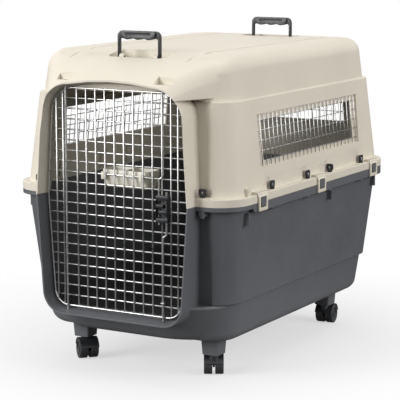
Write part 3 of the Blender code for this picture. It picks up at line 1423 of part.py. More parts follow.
def feeding_cup(crate):
    """Double cup with two hooks over a rail of the door."""
    back = DOOR_SEAM + DOOR_WIRE + CLEAR + 0.0002
    deep = back + CUP_DEPTH
    bm = bmesh.new()
    rings = []
    middle = ((CUP_X[0] + CUP_X[1]) / 2, (back + deep) / 2)
    half_x = (CUP_X[1] - CUP_X[0]) / 2
    half_y = CUP_DEPTH / 2
    brim_z = CUP_Z[1] - 0.017
    table = [(CUP_Z[0], -CUP_TAPER), (brim_z, -0.0015), (brim_z, 0.0), (CUP_Z[1], 0.0)]
    for z, draw in table:
        outline = rounded_rectangle(half_x + draw, half_y + draw, 0.012, arc=3)
        rings.append([(x + middle[0], y + middle[1], z) for x, y in outline])
    add_loft(bm, rings)
    cup = crate.solid("feeding_cup", bm, crate.cream)
    cut = bmesh.new()
    bowl = (half_x - 1.5 * CUP_WALL) / 2
    for side in (-1, 1):
        rings = []
        for z, draw in ((CUP_Z[0] + CUP_WALL, -CUP_TAPER), (CUP_Z[1] + 0.01, 0.0)):
            outline = rounded_rectangle(bowl + draw, half_y - CUP_WALL + draw, 0.010, arc=2)
            shift = middle[0] + side * (bowl + CUP_WALL / 2)
            rings.append([(x + shift, y + middle[1], z) for x, y in outline])
        add_loft(cut, rings)
    crate.combine(cup, cut, "DIFFERENCE", "bowls")
    add = bmesh.new()
    rail_z = DOOR_BOTTOM + DOOR_INSET + 13 * DOOR_PITCH_Z
    over = rail_z + DOOR_WIRE / 2 + 0.0005
    for x in HOOK_X:
        half = HOOK_WIDTH / 2
        front = DOOR_SEAM - CLEAR - HOOK_WALL
        profile = [(back + 0.001, over), (back + 0.001, over + HOOK_WALL + 0.001), (front, over + HOOK_WALL + 0.001),
                   (front, over - HOOK_DROP), (front + HOOK_WALL, over - HOOK_DROP), (front + HOOK_WALL, over)]
        add_prism(add, profile, lambda u, v, w: (w, u, v), x - half, x + half)
    crate.combine(cup, add, "UNION", "hooks")


def caster_frame_mesh(crate):
    """Swivel frame with hood, web, stem and axle, its trail along +x, about its swivel line."""
    axle_z = WHEEL_RADIUS
    half = WEB / 2 + WHEEL_GAP + WHEEL_WIDTH
    hood = WELL_CORNER + HOOD_WALL
    start = math.radians(12)
    steps = 8
    top = []
    for i in range(steps + 1):
        angle = start + (math.pi - 2 * start) * i / steps
        top.append((TRAIL + hood * math.cos(angle), axle_z + hood * math.sin(angle)))
    bm = bmesh.new()
    add_prism(bm, top, lambda u, v, w: (u, w, v), -half, half)
    return finish_mesh(bm, "caster_frame")


def casters(crate):
    axle_z = WHEEL_RADIUS
    half = WEB / 2 + WHEEL_GAP + WHEEL_WIDTH
    frame = caster_frame_mesh(crate)
    bm = bmesh.new()
    add_rod(bm, (0.0, 0.0, 0.038), (0.0, 0.0, BOSS_FOOT_Z - CLEAR), SWIVEL_RADIUS, 12)
    hub = finish_mesh(bm, "caster_hub")
    bm = bmesh.new()
    add_rod(bm, (0.0, 0.0, 0.050), (0.0, 0.0, STEM_TOP_Z), STEM / 2, 8)
    stem = finish_mesh(bm, "caster_stem")
    bm = bmesh.new()
    for side in (-1, 1):
        start = side * WEB / 2
        add_rod(bm, (TRAIL, start, axle_z), (TRAIL, side * 0.04, axle_z), WELL_CORNER, WELL_FACETS)
    wells = finish_mesh(bm, "caster_wells")
    bm = bmesh.new()
    outline = [(TRAIL + 0.018, axle_z + 0.008), (TRAIL + 0.014, axle_z + 0.018), (TRAIL - 0.018, axle_z + 0.018),
               (TRAIL - 0.021, axle_z + 0.008), (TRAIL - 0.006, axle_z - 0.007), (TRAIL + 0.006, axle_z - 0.007)]
    add_prism(bm, outline, lambda u, v, w: (u, w, v), -WEB / 2 + 0.0002, WEB / 2 - 0.0002)
    web = finish_mesh(bm, "caster_web")
    bm = bmesh.new()
    add_rod(bm, (TRAIL, -half + 0.001, axle_z), (TRAIL, half - 0.001, axle_z), AXLE / 2, 8)
    axle = finish_mesh(bm, "caster_axle")
    corners = (("front_left", -1, -1, -42), ("front_right", 1, -1, 120), ("rear_left", -1, 1, 105),
               ("rear_right", 1, 1, 96))
    profile = wheel_profile()
    for name, sx, sy, yaw in corners:
        place = (sx * CASTER_X, sy * CASTER_Y, 0.0)
        turn = (0.0, 0.0, math.radians(yaw))
        made = crate.solid("caster_frame_" + name, frame, crate.black, place, turn)
        join_copy(crate, made, hub, "UNION", "hub")
        join_copy(crate, made, wells, "DIFFERENCE", "wells")
        join_copy(crate, made, web, "UNION", "web")
        join_copy(crate, made, axle, "UNION", "axle")
        join_copy(crate, made, stem, "UNION", "stem")
        matrix = Matrix.Translation(place) @ Matrix.Rotation(math.radians(yaw), 4, "Z")
        for side, label in ((-1, "a"), (1, "b")):
            middle = matrix @ Vector((TRAIL, side * (WEB / 2 + WHEEL_GAP + WHEEL_WIDTH / 2), axle_z))
            wheel = bpy.data.objects.new(f"wheel_{name}_{label}", profile)
            wheel.parent = crate.datum
            wheel.location = middle
            spin = Matrix.Rotation(math.radians(yaw), 4, "Z") @ Matrix.Rotation(math.radians(-90 * side), 4, "X")
            wheel.rotation_euler = spin.to_euler()
            screw = wheel.modifiers.new("turned", "SCREW")
            screw.axis = "Z"
            screw.angle = 2 * math.pi
            screw.steps = WHEEL_FACETS
            screw.render_steps = WHEEL_FACETS
            screw.use_merge_vertices = True
            screw.merge_threshold = 0.00001
            crate.parts.objects.link(wheel)
    profile.materials.append(crate.black)


def wheel_profile():
    """Half section of a wheel: tread, outer face with a raised rim and a dished middle, and bore."""
    half = WHEEL_WIDTH / 2
    bore = AXLE_BORE / 2
    edge = 0.003
    points = [(bore, half - 0.001), (0.017, half - 0.004), (0.019, half), (TREAD_CORNER - edge, half),
              (TREAD_CORNER, half - edge), (TREAD_CORNER, -half), (bore, -half)]
    mesh = bpy.data.meshes.new("caster_wheel")
    edges = [(i, (i + 1) % len(points)) for i in range(len(points))]
    mesh.from_pydata([(r, 0.0, z) for r, z in points], edges, [])
    return mesh


def build():
    for old in list(bpy.data.objects):
        bpy.data.objects.remove(old, do_unlink=True)
    crate = Crate()
    base_tub(crate)
    roof_shell(crate)
    door_grille(crate)
    window_grilles(crate)
    door_rods(crate)
    latch_case(crate)
    latch_springs(crate)
    rod_guide(crate)
    feeding_cup(crate)
    handles(crate)
    clips(crate)
    bolts_and_nuts(crate)
    casters(crate)


build()
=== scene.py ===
"""Looks of the pet travel crate: the moulded shells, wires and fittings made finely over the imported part."""

import json
import math
from contextlib import contextmanager
from itertools import product

import bmesh
import bpy
from mathutils import Matrix, Vector


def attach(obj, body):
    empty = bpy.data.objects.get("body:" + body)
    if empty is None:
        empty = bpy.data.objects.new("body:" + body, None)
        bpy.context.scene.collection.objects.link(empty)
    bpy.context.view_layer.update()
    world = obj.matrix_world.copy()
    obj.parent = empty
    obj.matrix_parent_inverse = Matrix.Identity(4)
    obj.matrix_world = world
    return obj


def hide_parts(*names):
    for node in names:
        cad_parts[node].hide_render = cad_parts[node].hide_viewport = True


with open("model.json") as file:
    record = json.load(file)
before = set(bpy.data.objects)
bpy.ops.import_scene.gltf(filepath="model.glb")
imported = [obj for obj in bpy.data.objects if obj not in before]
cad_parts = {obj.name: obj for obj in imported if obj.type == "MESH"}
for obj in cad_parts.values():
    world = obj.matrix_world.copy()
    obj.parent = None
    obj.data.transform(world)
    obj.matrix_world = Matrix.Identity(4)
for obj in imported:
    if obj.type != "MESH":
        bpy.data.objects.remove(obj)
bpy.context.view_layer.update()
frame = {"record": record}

# Lengths are in metres, in the body's own frame: x to the right, y to the rear, z up
# Body, seen in plan
FLANGE_X = 0.315
FLANGE_Y = 0.446
FLANGE_RADIUS = 0.080
OVERHANG = 0.012
WALL_RADIUS = 0.075
WALL = 0.004
CLEAR = 0.0003
ARC = 18
TRIM = 0.006

# Heights
FLOOR_Z = 0.100
STEP_Z = 0.195
CHIN_Z = 0.197
SPLIT_Z = 0.439
LEDGE_Z = 0.680
ROOF_Z = 0.784
BASE_SKIRT = 0.021
FRONT_SKIRT = 0.010
ROOF_SKIRT = 0.0192
PLATE = 0.004

# Base tub
BASE_DRAFT = 0.095
LOW_DRAFT = 0.117
STEP_IN = 0.007
BOTTOM_ROUND = 0.025
SKIRT_SHORT_Y = -0.350

# Roof shell
ROOF_DRAFT = 0.0925
LEDGE_IN = 0.004
CROWN_DRAFT = 0.100
CROWN_RADIUS = 0.090
ROOF_ROUND = 0.038
RECESS_IN = 0.010
RECESS_FLAT = 0.226
RECESS_HALF = 0.250

# Door opening, seen from the front, and its collar
COLLAR_FRONT = 0.033
DOOR_HALF = 0.2095
DOOR_TAPER = 0.068
DOOR_TOP = 0.711
DOOR_BOTTOM = 0.153
DOOR_TOP_RADIUS = 0.078
DOOR_BOTTOM_RADIUS = 0.052
TUNNEL_DEPTH = 0.035
TUNNEL_IN = 0.007
LIP = 0.004
LIP_HALF = 0.120
LIP_RISE = 0.009
ARCH = 0.010

# Front of the roof: where its top starts to fall, how it falls, and where the hood over the door ends
FALL_Y = -0.300
FALL_SLOPE = 0.110
FALL_CURVE = 1.5
HOOD_END_Y = -0.355
HOOD_END_HALF = 0.2575
HOOD_END_ROUND = 0.042
HOOD_FOOT_Z = 0.682

# Door grille
DOOR_INSET = 0.014
DOOR_TOP_INSET = 0.011
DOOR_WIRE = 0.004
DOOR_PITCH_Z = 0.0254
DOOR_PITCH_X = 0.02642
DOOR_COLUMNS = 10
DOOR_COLUMN_SHIFT = 0.0081
OUTER_COLUMNS = (0.1513, 0.1702)
DOOR_GAP = 0.0006
ROD = 0.005
HINGE_X = -0.1395
LATCH_X = 0.132
ROD_HOLE = 0.0066

# Latch
CASE_X = (0.1155, 0.1509)
CASE_Z = (0.396, 0.461)
CASE_DEPTH = 0.0097
CASE_WALL = 0.002
UPPER_ROD_X = 0.1215
LOWER_ROD_X = 0.142
LATCH_TRAVEL = 0.010
TIP_GAP = 0.0006
TAB = 0.008
TAB_APART = 0.006
SPRING_WIRE = 0.0008
SPRING_RADIUS = 0.0033

# Windows, in the plane of their wall: half-width and half-height of opening and recess
WINDOW_Z = 0.578
SIDE_OPENING = (0.251, 0.0492)
SIDE_RECESS = (0.279, 0.0630)
REAR_WINDOW_Z = 0.588
REAR_OPENING = (0.187, 0.0382)
REAR_RECESS = (0.204, 0.0510)
WINDOW_WIRE = 0.0024
WINDOW_PITCH_X = 0.022
WINDOW_PITCH_Z = 0.0245

# Handles and their pockets
HANDLE_Y = 0.343
HANDLE_HALF = 0.0599
HANDLE_TOP_Z = 0.8328
HANDLE_PIVOT_Z = 0.770
HANDLE_CORNER = 0.014
LEG = (0.006, 0.009)
GRIP = (0.021, 0.017)
GRIP_HALF = 0.046
FINGER_PITCH = 0.030
FINGER_DEPTH = 0.003
HANDLE_PIN = 0.006
POCKET_HALF = 0.080
POCKET_Z = 0.762
POCKET_OUT = 0.022
POCKET_IN = 0.045
BOSS_WIDTH = 0.012
BOSS_RADIUS = 0.008

# Roof grooves
GROOVE_X = 0.163
GROOVE_Y = (-0.369, 0.341)
GROOVE_WIDTH = 0.007
GROOVE_DEPTH = 0.003
WEDGE = (0.028, 0.060, 0.005)

# Bolts and wing nuts
BOLT_Y = (-0.2433, -0.0528, 0.0742, 0.2647)
BOLT_X = 0.230
BOLT_IN = 0.006
BOLT = 0.006
BOLT_HEAD = (0.010, 0.004)
BOLT_HOLE = 0.0076
BOLT_BLOCK = (0.016, 0.0225)
PAD = (0.050, 0.0025)
NUT_POCKET = 0.0135
NUT_HEIGHT = 0.0205
NUT_WING = (0.020, 0.0046)
NUT_HUB = (0.0118, 0.009)

# Side clips
CLIP_Y = (-0.307, 0.010, 0.327)
CLIP_AXIS_IN = 0.002
CLIP_AXIS_Z = 0.4585
CLIP_BLOCK_Z = 0.4645
CLIP_BARREL = 0.008
CLIP_GROOVE = 0.0088
CLIP_HALF = 0.022
CLIP_DROP = 0.0395
CLIP_THICK = 0.0045
CLIP_WINDOW = (0.014, 0.006, 0.031)
NUB = (0.012, 0.0290, 0.008, 0.006)

# Fins under the base flange, and a peg on each side of the roof flange: x, y and half-width
FIN_Y = (-0.363, 0.084, 0.352)
FIN_THICK = 0.005
FIN_DROP = 0.032
PEG = (0.3025, -0.358, 0.006)
PEG_RISE = 0.018

# Feeding cup
CUP_X = (-0.047, 0.085)
CUP_Z = (0.466, 0.509)
CUP_DEPTH = 0.060
CUP_WALL = 0.002
CUP_TAPER = 0.005
HOOK_X = (-0.0385, 0.0672)
HOOK_WIDTH = 0.008
HOOK_WALL = 0.0026
HOOK_DROP = 0.014

# Casters
CASTER_X = 0.187
CASTER_Y = 0.310
BOSS_HALF = 0.0215
BOSS_FOOT_Z = 0.055
BOSS_WALL = 0.003
STEM_BORE = 0.0102
STEM_TUBE = 0.020
STEM_TOP_Z = 0.085
WHEEL_RADIUS = 0.025
WHEEL_WIDTH = 0.0206
WHEEL_GAP = 0.0006
WEB = 0.006
TRAIL = 0.016
AXLE = 0.007
AXLE_BORE = 0.0078
SWIVEL_RADIUS = 0.011

# The collar reaches further forward than the rear flange does, so the body sits behind the middle
BODY_Y = COLLAR_FRONT / 2
FRONT = -(FLANGE_Y + COLLAR_FRONT)
WALL_TOP_X = FLANGE_X - OVERHANG
WALL_TOP_Y = FLANGE_Y - OVERHANG
DOOR_SEAM = FRONT + TUNNEL_DEPTH - DOOR_GAP - DOOR_WIRE
DOOR_FACE = DOOR_SEAM - DOOR_WIRE - CLEAR
ROD_Y = DOOR_FACE - CLEAR - ROD / 2
ROOF_BOTTOM_Z = SPLIT_Z + CLEAR
ROOF_FLANGE_Z = ROOF_BOTTOM_Z + ROOF_SKIRT
# How far a joined piece sinks into the one it stands on, and how far a cutter reaches past a face,
# or past everything that it takes away on that side
SINK = 0.002
PAST = 0.01
FAR = 0.05

# Degrees past which an edge is bevelled, and past which it stays sharp
EDGE_ANGLE = 32
SHARP_ANGLE = 38

SIDES = (-1, 1)
CLIP_SPOTS = list(product(SIDES, CLIP_Y))
CASTER_SPOTS = list(product((-CASTER_X, CASTER_X), (-CASTER_Y, CASTER_Y)))
BROW_STEPS = (0.0, 0.012, 0.024, 0.036, 0.048, 0.060, 0.072, 0.084, 0.096, 0.108, 0.124)
# Name, direction it faces, height of its middle, opening and recess of each window
OPENING, RECESS = 0, 1
WINDOWS = (("right", 0, WINDOW_Z, SIDE_OPENING, SIDE_RECESS),
           ("left", 180, WINDOW_Z, SIDE_OPENING, SIDE_RECESS),
           ("rear", 90, REAR_WINDOW_Z, REAR_OPENING, REAR_RECESS))

WINDOW_DEPTH = 2 * WINDOW_WIRE + 2 * CLEAR
# Slots over the door: distance of their middle, and half-width
SLOT = (0.138, 0.021)
# The collar round the door widens by its flare over its run
COLLAR_FLARE = 0.0025
COLLAR_RUN = 0.050

# Wire of the door, counted from the bottom, that the cup hangs on
HOOK_ROW = 13
# Nuts whose wings stand across the flange; the others stand along it
NUTS_ACROSS = ("right_3", "left_2")
# Name, side, end and yaw in degrees of each caster
CASTERS = (("front_left", -1, -1, -42), ("front_right", 1, -1, 120), ("rear_left", -1, 1, 105),
           ("rear_right", 1, 1, 96))
HUB_FOOT_Z = 0.038

# Finishes: colour, roughness, drift of the colour, and how much painted shade darkens it in deep hollows
MOULDINGS = {"beige": ("beige_moulding", (0.735, 0.680, 0.570), 0.52, 0.03, 0.88),
             "grey": ("grey_moulding", (0.118, 0.122, 0.132), 0.48, 0.06, 0.80),
             "black": ("black_moulding", (0.020, 0.021, 0.024), 0.38, 0.10, 0.0),
             "cream": ("cream_moulding", (0.80, 0.765, 0.66), 0.38, 0.03, 0.0),
             "tyre": ("wheel_tread", (0.030, 0.031, 0.034), 0.55, 0.12, 0.0)}
METALS = {"zinc": ("bright_zinc", (0.60, 0.60, 0.59), 0.30),
          "steel": ("plain_steel", (0.42, 0.42, 0.42), 0.32)}
# Reach and range of the ambient occlusion that paints shade into the hollows of the mouldings
PAINTED_SHADE_REACH = 0.45
PAINTED_SHADE_RANGE = (0.04, 0.30)
SOFT_EDGE = 0.0012

# Studio: lamps as name, place, size and power; floor fade by distance; camera
LAMPS = (("key", (-2.7, -4.1, 1.9), 2.4, 190.0), ("fill", (4.3, 0.2, 1.8), 2.6, 92.0),
         ("top", (0.0, 0.6, 4.2), 3.4, 42.0))
LAMP_AIM = Vector((0.0, 0.0, 0.4))
WHITE = (1.0, 1.0, 1.0, 1.0)
AMBIENT = 0.50
FLOOR_RADIUS = 40.0
FLOOR_LEVEL = -0.0002
FLOOR_SHADE = 0.93
FLOOR_FADE = (0.40, 1.15, 0.58)
CAMERA_SPOT = (2.1036, -3.6872, 1.0834)
CAMERA_AZIMUTH = 29.95
CAMERA_ELEVATION = 9.47
CAMERA_LENS = 148.5
CAMERA_SENSOR = 36.0


def add_node(tree, kind, sockets, **settings):
    """Add a shader node; each socket gets a value, or a link when it is given another node's output."""
    made = tree.nodes.new("ShaderNode" + kind)
    for name, value in settings.items():
        setattr(made, name, value)
    for socket, value in sockets.items():
        if isinstance(value, bpy.types.NodeSocket):
            tree.links.new(value, made.inputs[socket])
        else:
            made.inputs[socket].default_value = value
    return made


def noise(tree, place, scale, detail):
    return add_node(tree, "TexNoise", {"Scale": scale, "Detail": detail, "Vector": place}).outputs["Fac"]


def spread(tree, value, low, high, start=0.3, stop=0.7):
    """Map a range, by default the middle of a noise, to another."""
    return add_node(tree, "MapRange", {"From Min": start, "From Max": stop, "To Min": low, "To Max": high,
                                       "Value": value}).outputs["Result"]


def tinted(tree, value, color, share):
    """Colour that drifts a little darker and lighter with a noise."""
    ramp = add_node(tree, "ValToRGB", {"Fac": value})
    dark, light = ramp.color_ramp.elements
    dark.position, light.position = 0.3, 0.7
    dark.color = (*[c * (1 - share) for c in color], 1.0)
    light.color = (*[min(c * (1 + share), 1.0) for c in color], 1.0)
    return ramp.outputs["Color"]


def surface(name, drift, color, share):
    """New material with a drifting colour: its tree, shader, place in the object and paint."""
    made = bpy.data.materials.new(name)
    made.use_nodes = True
    tree = made.node_tree
    place = add_node(tree, "TexCoord", {}).outputs["Object"]
    paint = tinted(tree, noise(tree, place, drift, 3.0), color, share)
    return made, tree, tree.nodes["Principled BSDF"], place, paint


def roughen(tree, shader, rough, low, high, **grain):
    """Clouded roughness and a fine grain."""
    tree.links.new(spread(tree, rough, low, high), shader.inputs["Roughness"])
    bump = add_node(tree, "Bump", grain)
    tree.links.new(bump.outputs["Normal"], shader.inputs["Normal"])


def plastic(name, color, roughness, share, shade):
    """Moulded plastic with a fine spark-eroded grain and softened edges; shade is how much painted shade, from
    an ambient-occlusion node, darkens its colour in deep hollows.
    """
    made, tree, shader, place, paint = surface(name, 7.0, color, share)
    # Painted shade: the colour is multiplied darker where ambient occlusion finds deep hollows, such as inside
    # the shells
    if shade > 0.0:
        hollow = add_node(tree, "AmbientOcclusion", {"Distance": PAINTED_SHADE_REACH}, samples=8)
        light = spread(tree, hollow.outputs["AO"], 1.0 - shade, 1.0, *PAINTED_SHADE_RANGE)
        paint = add_node(tree, "Mix", {0: 1.0, 6: paint, 7: light}, data_type="RGBA",
                         blend_type="MULTIPLY").outputs[2]
    tree.links.new(paint, shader.inputs["Base Color"])
    edge = add_node(tree, "Bevel", {"Radius": SOFT_EDGE}, samples=6)
    roughen(tree, shader, noise(tree, place, 60.0, 4.0), roughness - 0.06, roughness + 0.06, Strength=0.12,
            Distance=0.0003, Height=noise(tree, place, 900.0, 2.0), Normal=edge.outputs["Normal"])
    return made


def metal(name, color, roughness):
    """Plated wire: bright, with a faint drift of colour, a fine grain and cloudy roughness."""
    made, tree, shader, place, paint = surface(name, 90.0, color, 0.06)
    tree.links.new(paint, shader.inputs["Base Color"])
    shader.inputs["Metallic"].default_value = 1.0
    roughen(tree, shader, noise(tree, place, 260.0, 3.0), roughness - 0.05, roughness + 0.10, Strength=0.15,
            Distance=0.0001, Height=noise(tree, place, 1400.0, 2.0))
    return made


def flat(u, v, w):
    """Outline seen from above, extruded upwards."""
    return u, v, w


def upright(u, v, w):
    """Outline seen from the front, extruded along y."""
    return u, w, v


def sideways(u, v, w):
    """Outline seen from the side, extruded along x."""
    return w, u, v


def polar(radius, angle, x=0.0, y=0.0):
    return x + radius * math.cos(angle), y + radius * math.sin(angle)


def add_box(bm, low, high):
    middle = [(a + b) / 2 for a, b in zip(low, high)]
    size = [b - a for a, b in zip(low, high)]
    bmesh.ops.create_cube(bm, size=1.0, matrix=Matrix.Translation(middle) @ Matrix.Diagonal((*size, 1.0)))


def twin_boxes(bm, x, half, ys, zs):
    """Add a box that reaches half each way from x, and its mirror image on the left."""
    for sign in SIDES:
        add_box(bm, (sign * x - half, ys[0], zs[0]), (sign * x + half, ys[1], zs[1]))


def add_rod(bm, start, end, radius, sides):
    """Add a cylinder from one point to another."""
    start = Vector(start)
    end = Vector(end)
    line = end - start
    place = Matrix.Translation((start + end) / 2) @ line.to_track_quat("Z", "Y").to_matrix().to_4x4()
    bmesh.ops.create_cone(bm, cap_ends=True, segments=sides, radius1=radius, radius2=radius,
                          depth=line.length, matrix=place)


def add_band(bm, low, high):
    """Join two closed rows of vertices with quads."""
    count = len(low)
    for i in range(count):
        j = (i + 1) % count
        bm.faces.new((low[i], low[j], high[j], high[i]))


def add_loft(bm, rings):
    """Join rings of as many points each with quads, and cap the first and the last."""
    rows = [[bm.verts.new(point) for point in ring] for ring in rings]
    for low, high in zip(rows, rows[1:]):
        add_band(bm, low, high)
    bm.faces.new(list(reversed(rows[0])))
    bm.faces.new(rows[-1])


def add_prism(bm, outline, place, low, high):
    """Extrude a flat outline; place(u, v, w) gives the point at depth w."""
    add_loft(bm, [[place(u, v, w) for u, v in outline] for w in (low, high)])


def side_prism(bm, sign, outline, y, half):
    """Extrude an outline seen from the front half each way along y, mirrored where the sign is negative."""
    add_prism(bm, [(sign * x, z) for x, z in outline], upright, y - half, y + half)


def filled(fill, *details):
    """New mesh that one of the functions for shapes has filled."""
    bm = bmesh.new()
    fill(bm, *details)
    return bm


def rounded_rectangle(half_x, half_y, radius, stations=(), arc=ARC):
    """Outline counter-clockwise from the front right corner, with extra points on both long sides."""
    points = []
    for sign_x, sign_y, first in ((1, -1, -90), (1, 1, 0), (-1, 1, 90), (-1, -1, 180)):
        for i in range(arc + 1):
            points.append(polar(radius, math.radians(first + 90 * i / arc), sign_x * (half_x - radius),
                                sign_y * (half_y - radius)))
        side = [max(y, radius - half_y + SINK * (k + 1)) for k, y in enumerate(stations)]
        if first == -90:
            points += [(half_x, y) for y in side]
        if first == 90:
            points += [(-half_x, y) for y in reversed(side)]
    return points


def rounded_polygon(corners, arc=ARC):
    """Outline through (x, z, radius) corners, each rounded by an arc that touches both sides."""
    points = []
    for i, (x, z, radius) in enumerate(corners):
        if radius <= 0:
            points.append((x, z))
            continue
        corner = Vector((x, z))
        before = (Vector(corners[i - 1][:2]) - corner).normalized()
        after = (Vector(corners[(i + 1) % len(corners)][:2]) - corner).normalized()
        half = before.angle(after) / 2
        middle = corner + (before + after).normalized() * (radius / math.sin(half))
        start = corner + before * (radius / math.tan(half)) - middle
        end = corner + after * (radius / math.tan(half)) - middle
        sweep = start.angle_signed(end)
        first = math.atan2(start.y, start.x)
        points += [polar(radius, first - sweep * k / arc, middle.x, middle.y) for k in range(arc + 1)]
    return points


def mirrored_polygon(right, arc=ARC):
    """Rounded outline from the (x, z, radius) corners of its right half."""
    return rounded_polygon(right + [(-x, z, radius) for x, z, radius in reversed(right)], arc)


def level(outline, z, x=0.0, y=0.0):
    """Lay an outline flat at a height, moved by x and y."""
    return [(px + x, py + y, z) for px, py in outline]


def mirrored(points):
    """Close an outline that runs up its right side with the same points on its left."""
    return points + [(-x, z) for x, z in reversed(points)]


def add_tube(bm, points, radius, sides, closed=False):
    """Sweep a round wire along a route, mitred at each point, with rounded ends."""
    points = [Vector(p) for p in points]
    count = len(points)
    up = Vector((0.0, 0.0, 1.0))
    rows = []
    side = None
    for i, here in enumerate(points):
        before = points[i - 1] if (closed or i) else None
        after = points[(i + 1) % count] if (closed or i < count - 1) else None
        into = (here - before).normalized() if before is not None else (after - here).normalized()
        out = (after - here).normalized() if after is not None else into
        tangent = (into + out).normalized()
        stretch = 1.0 / max(tangent.dot(out), 0.6)
        if side is None:
            guide = up if abs(tangent.dot(up)) < 0.9 else Vector((0.0, 1.0, 0.0))
            side = tangent.cross(guide).normalized()
        else:
            side = (side - tangent * side.dot(tangent)).normalized()
        other = tangent.cross(side)
        bend = out - into
        ring = []
        for k in range(sides):
            angle = 2 * math.pi * k / sides
            offset = (side * math.cos(angle) + other * math.sin(angle)) * radius
            if bend.length > 1e-6:
                axis = bend.normalized()
                offset += axis * offset.dot(axis) * (stretch - 1.0)
            ring.append(bm.verts.new(here + offset))
        rows.append(ring)
    for low, high in zip(rows, rows[1:]):
        add_band(bm, low, high)
    if closed:
        add_band(bm, rows[-1], rows[0])
        return
    for ring, end, beyond in ((rows[0], points[0], points[0] - points[1]),
                              (rows[-1], points[-1], points[-1] - points[-2])):
        tip = beyond.normalized() * radius * 0.35
        inner = [bm.verts.new(end + (v.co - end) * 0.72 + tip) for v in ring]
        add_band(bm, ring, inner)
        bm.faces.new(inner)


def smooth_bend(points, radius, steps=8):
    """Round the inner corners of a route with short arcs."""
    points = [Vector(p) for p in points]
    route = [points[0]]
    for before, here, after in zip(points, points[1:], points[2:]):
        start = here + (before - here).normalized() * radius
        end = here + (after - here).normalized() * radius
        for i in range(steps + 1):
            t = i / steps
            route.append(start * (1 - t) ** 2 + here * 2 * t * (1 - t) + end * t ** 2)
    return route + [points[-1]]


def finish_mesh(bm, name):
    bmesh.ops.remove_doubles(bm, verts=bm.verts, dist=1e-6)
    bmesh.ops.recalc_face_normals(bm, faces=bm.faces)
    mesh = bpy.data.meshes.new(name)
    bm.to_mesh(mesh)
    bm.free()
    return mesh


def stand(name, data):
    """New object in the scene."""
    made = bpy.data.objects.new(name, data)
    bpy.context.scene.collection.objects.link(made)
    return made


class Crate:
    """Holds the pieces while they are cut, then bakes each to a plain mesh that rides on its body."""

    def __init__(self):
        record = frame["record"]
        self.body_of = {node: body for body, nodes in record["behaviour"]["bodies"].items() for node in nodes}
        self.slot_of = {row["node"]: row["material_slot"] for row in record["subparts"]}
        self.datum = stand("body_middle", None)
        self.datum.location = (0.0, BODY_Y, 0.0)
        self.pieces = []
        self.tools = []
        self.finishes = {key: plastic(*look) for key, look in MOULDINGS.items()}
        self.finishes.update({key: metal(*look) for key, look in METALS.items()})

    def solid(self, name, bm, finish, pivot=(0.0, 0.0, 0.0), turn=0.0, edge=0.0, label="fine"):
        """Start a piece that shows a node; turn is an angle about z or a set of angles."""
        made = stand(name + "_work", finish_mesh(bm, name))
        made.parent = self.datum
        made.location = pivot
        made.rotation_euler = (0.0, 0.0, turn) if isinstance(turn, float) else turn
        self.pieces.append((made, name, finish, edge, label))
        return made

    def cutter(self, name, bm):
        made = stand(name, finish_mesh(bm, name))
        made.parent = self.datum
        self.tools.append(made)
        return made

    def combine(self, target, tool, operation, label):
        step = target.modifiers.new(label, "BOOLEAN")
        step.operation = operation
        step.solver = "EXACT"
        step.object = tool

    @contextmanager
    def shaping(self, target, operation, label, local):
        """Give a mesh to fill, then cut or join it; a local one stands where its target does."""
        bm = bmesh.new()
        yield bm
        tool = self.cutter(target.name + "_" + label, bm)
        if local:
            tool.location = target.location
            tool.rotation_euler = target.rotation_euler
        self.combine(target, tool, operation, label)

    def cut(self, target, label, local=False):
        return self.shaping(target, "DIFFERENCE", label, local)

    def join(self, target, label, local=False):
        return self.shaping(target, "UNION", label, local)

    def bake(self):
        """Turn every piece into a plain mesh in the row frame, on the body of its node."""
        for work, _, _, edge, _ in self.pieces:
            if edge:
                bevel = work.modifiers.new("edges", "BEVEL")
                bevel.width = edge
                bevel.segments = 3
                bevel.limit_method = "ANGLE"
                bevel.angle_limit = math.radians(EDGE_ANGLE)
                bevel.use_clamp_overlap = True
        bpy.context.view_layer.update()
        view = bpy.context.evaluated_depsgraph_get()
        meshes = []
        for work, *_ in self.pieces:
            mesh = bpy.data.meshes.new_from_object(work.evaluated_get(view))
            mesh.transform(work.matrix_world)
            meshes.append(mesh)
        for (_, node, finish, _, label), mesh in zip(self.pieces, meshes):
            mesh.materials.clear()
            mesh.materials.append(self.finishes[finish])
            mesh.shade_smooth()
            mesh.set_sharp_from_angle(angle=math.radians(SHARP_ANGLE))
            made = stand(f"{node}_{label}", mesh)
            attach(made, self.body_of[node])
            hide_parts(node)
        for work in [piece[0] for piece in self.pieces] + self.tools + [self.datum]:
            bpy.data.objects.remove(work)


def low_half(z):
    """Half-width and half-depth of the outer wall below the step."""
    x, y = base_half(STEP_Z)
    lean = LOW_DRAFT * (STEP_Z - z)
    return x - STEP_IN - lean, y - STEP_IN - lean


def base_half(z):
    """Half-width and half-depth of the outer wall between the step and the flange."""
    return WALL_TOP_X - BASE_DRAFT * (SPLIT_Z - z), WALL_TOP_Y - BASE_DRAFT * (SPLIT_Z - z)


def roof_half(z):
    """Half-width and half-depth of the roof's outer wall below its ledge."""
    return WALL_TOP_X - ROOF_DRAFT * (z - SPLIT_Z), WALL_TOP_Y - ROOF_DRAFT * (z - SPLIT_Z)


def crown_half(z):
    x, y = roof_half(LEDGE_Z)
    drop = LEDGE_IN + CROWN_DRAFT * (z - LEDGE_Z)
    return x - drop, y - drop


def wall_row(half, z, radius=WALL_RADIUS, inset=0.0):
    """Half-width, half-depth, corner radius and height of a wall's outline, inset for the inner wall."""
    x, y = half(z)
    return x - inset, y - inset, radius - inset, z


def flange_row(z, inset=0.0):
    return FLANGE_X - inset, FLANGE_Y - inset, FLANGE_RADIUS - inset, z


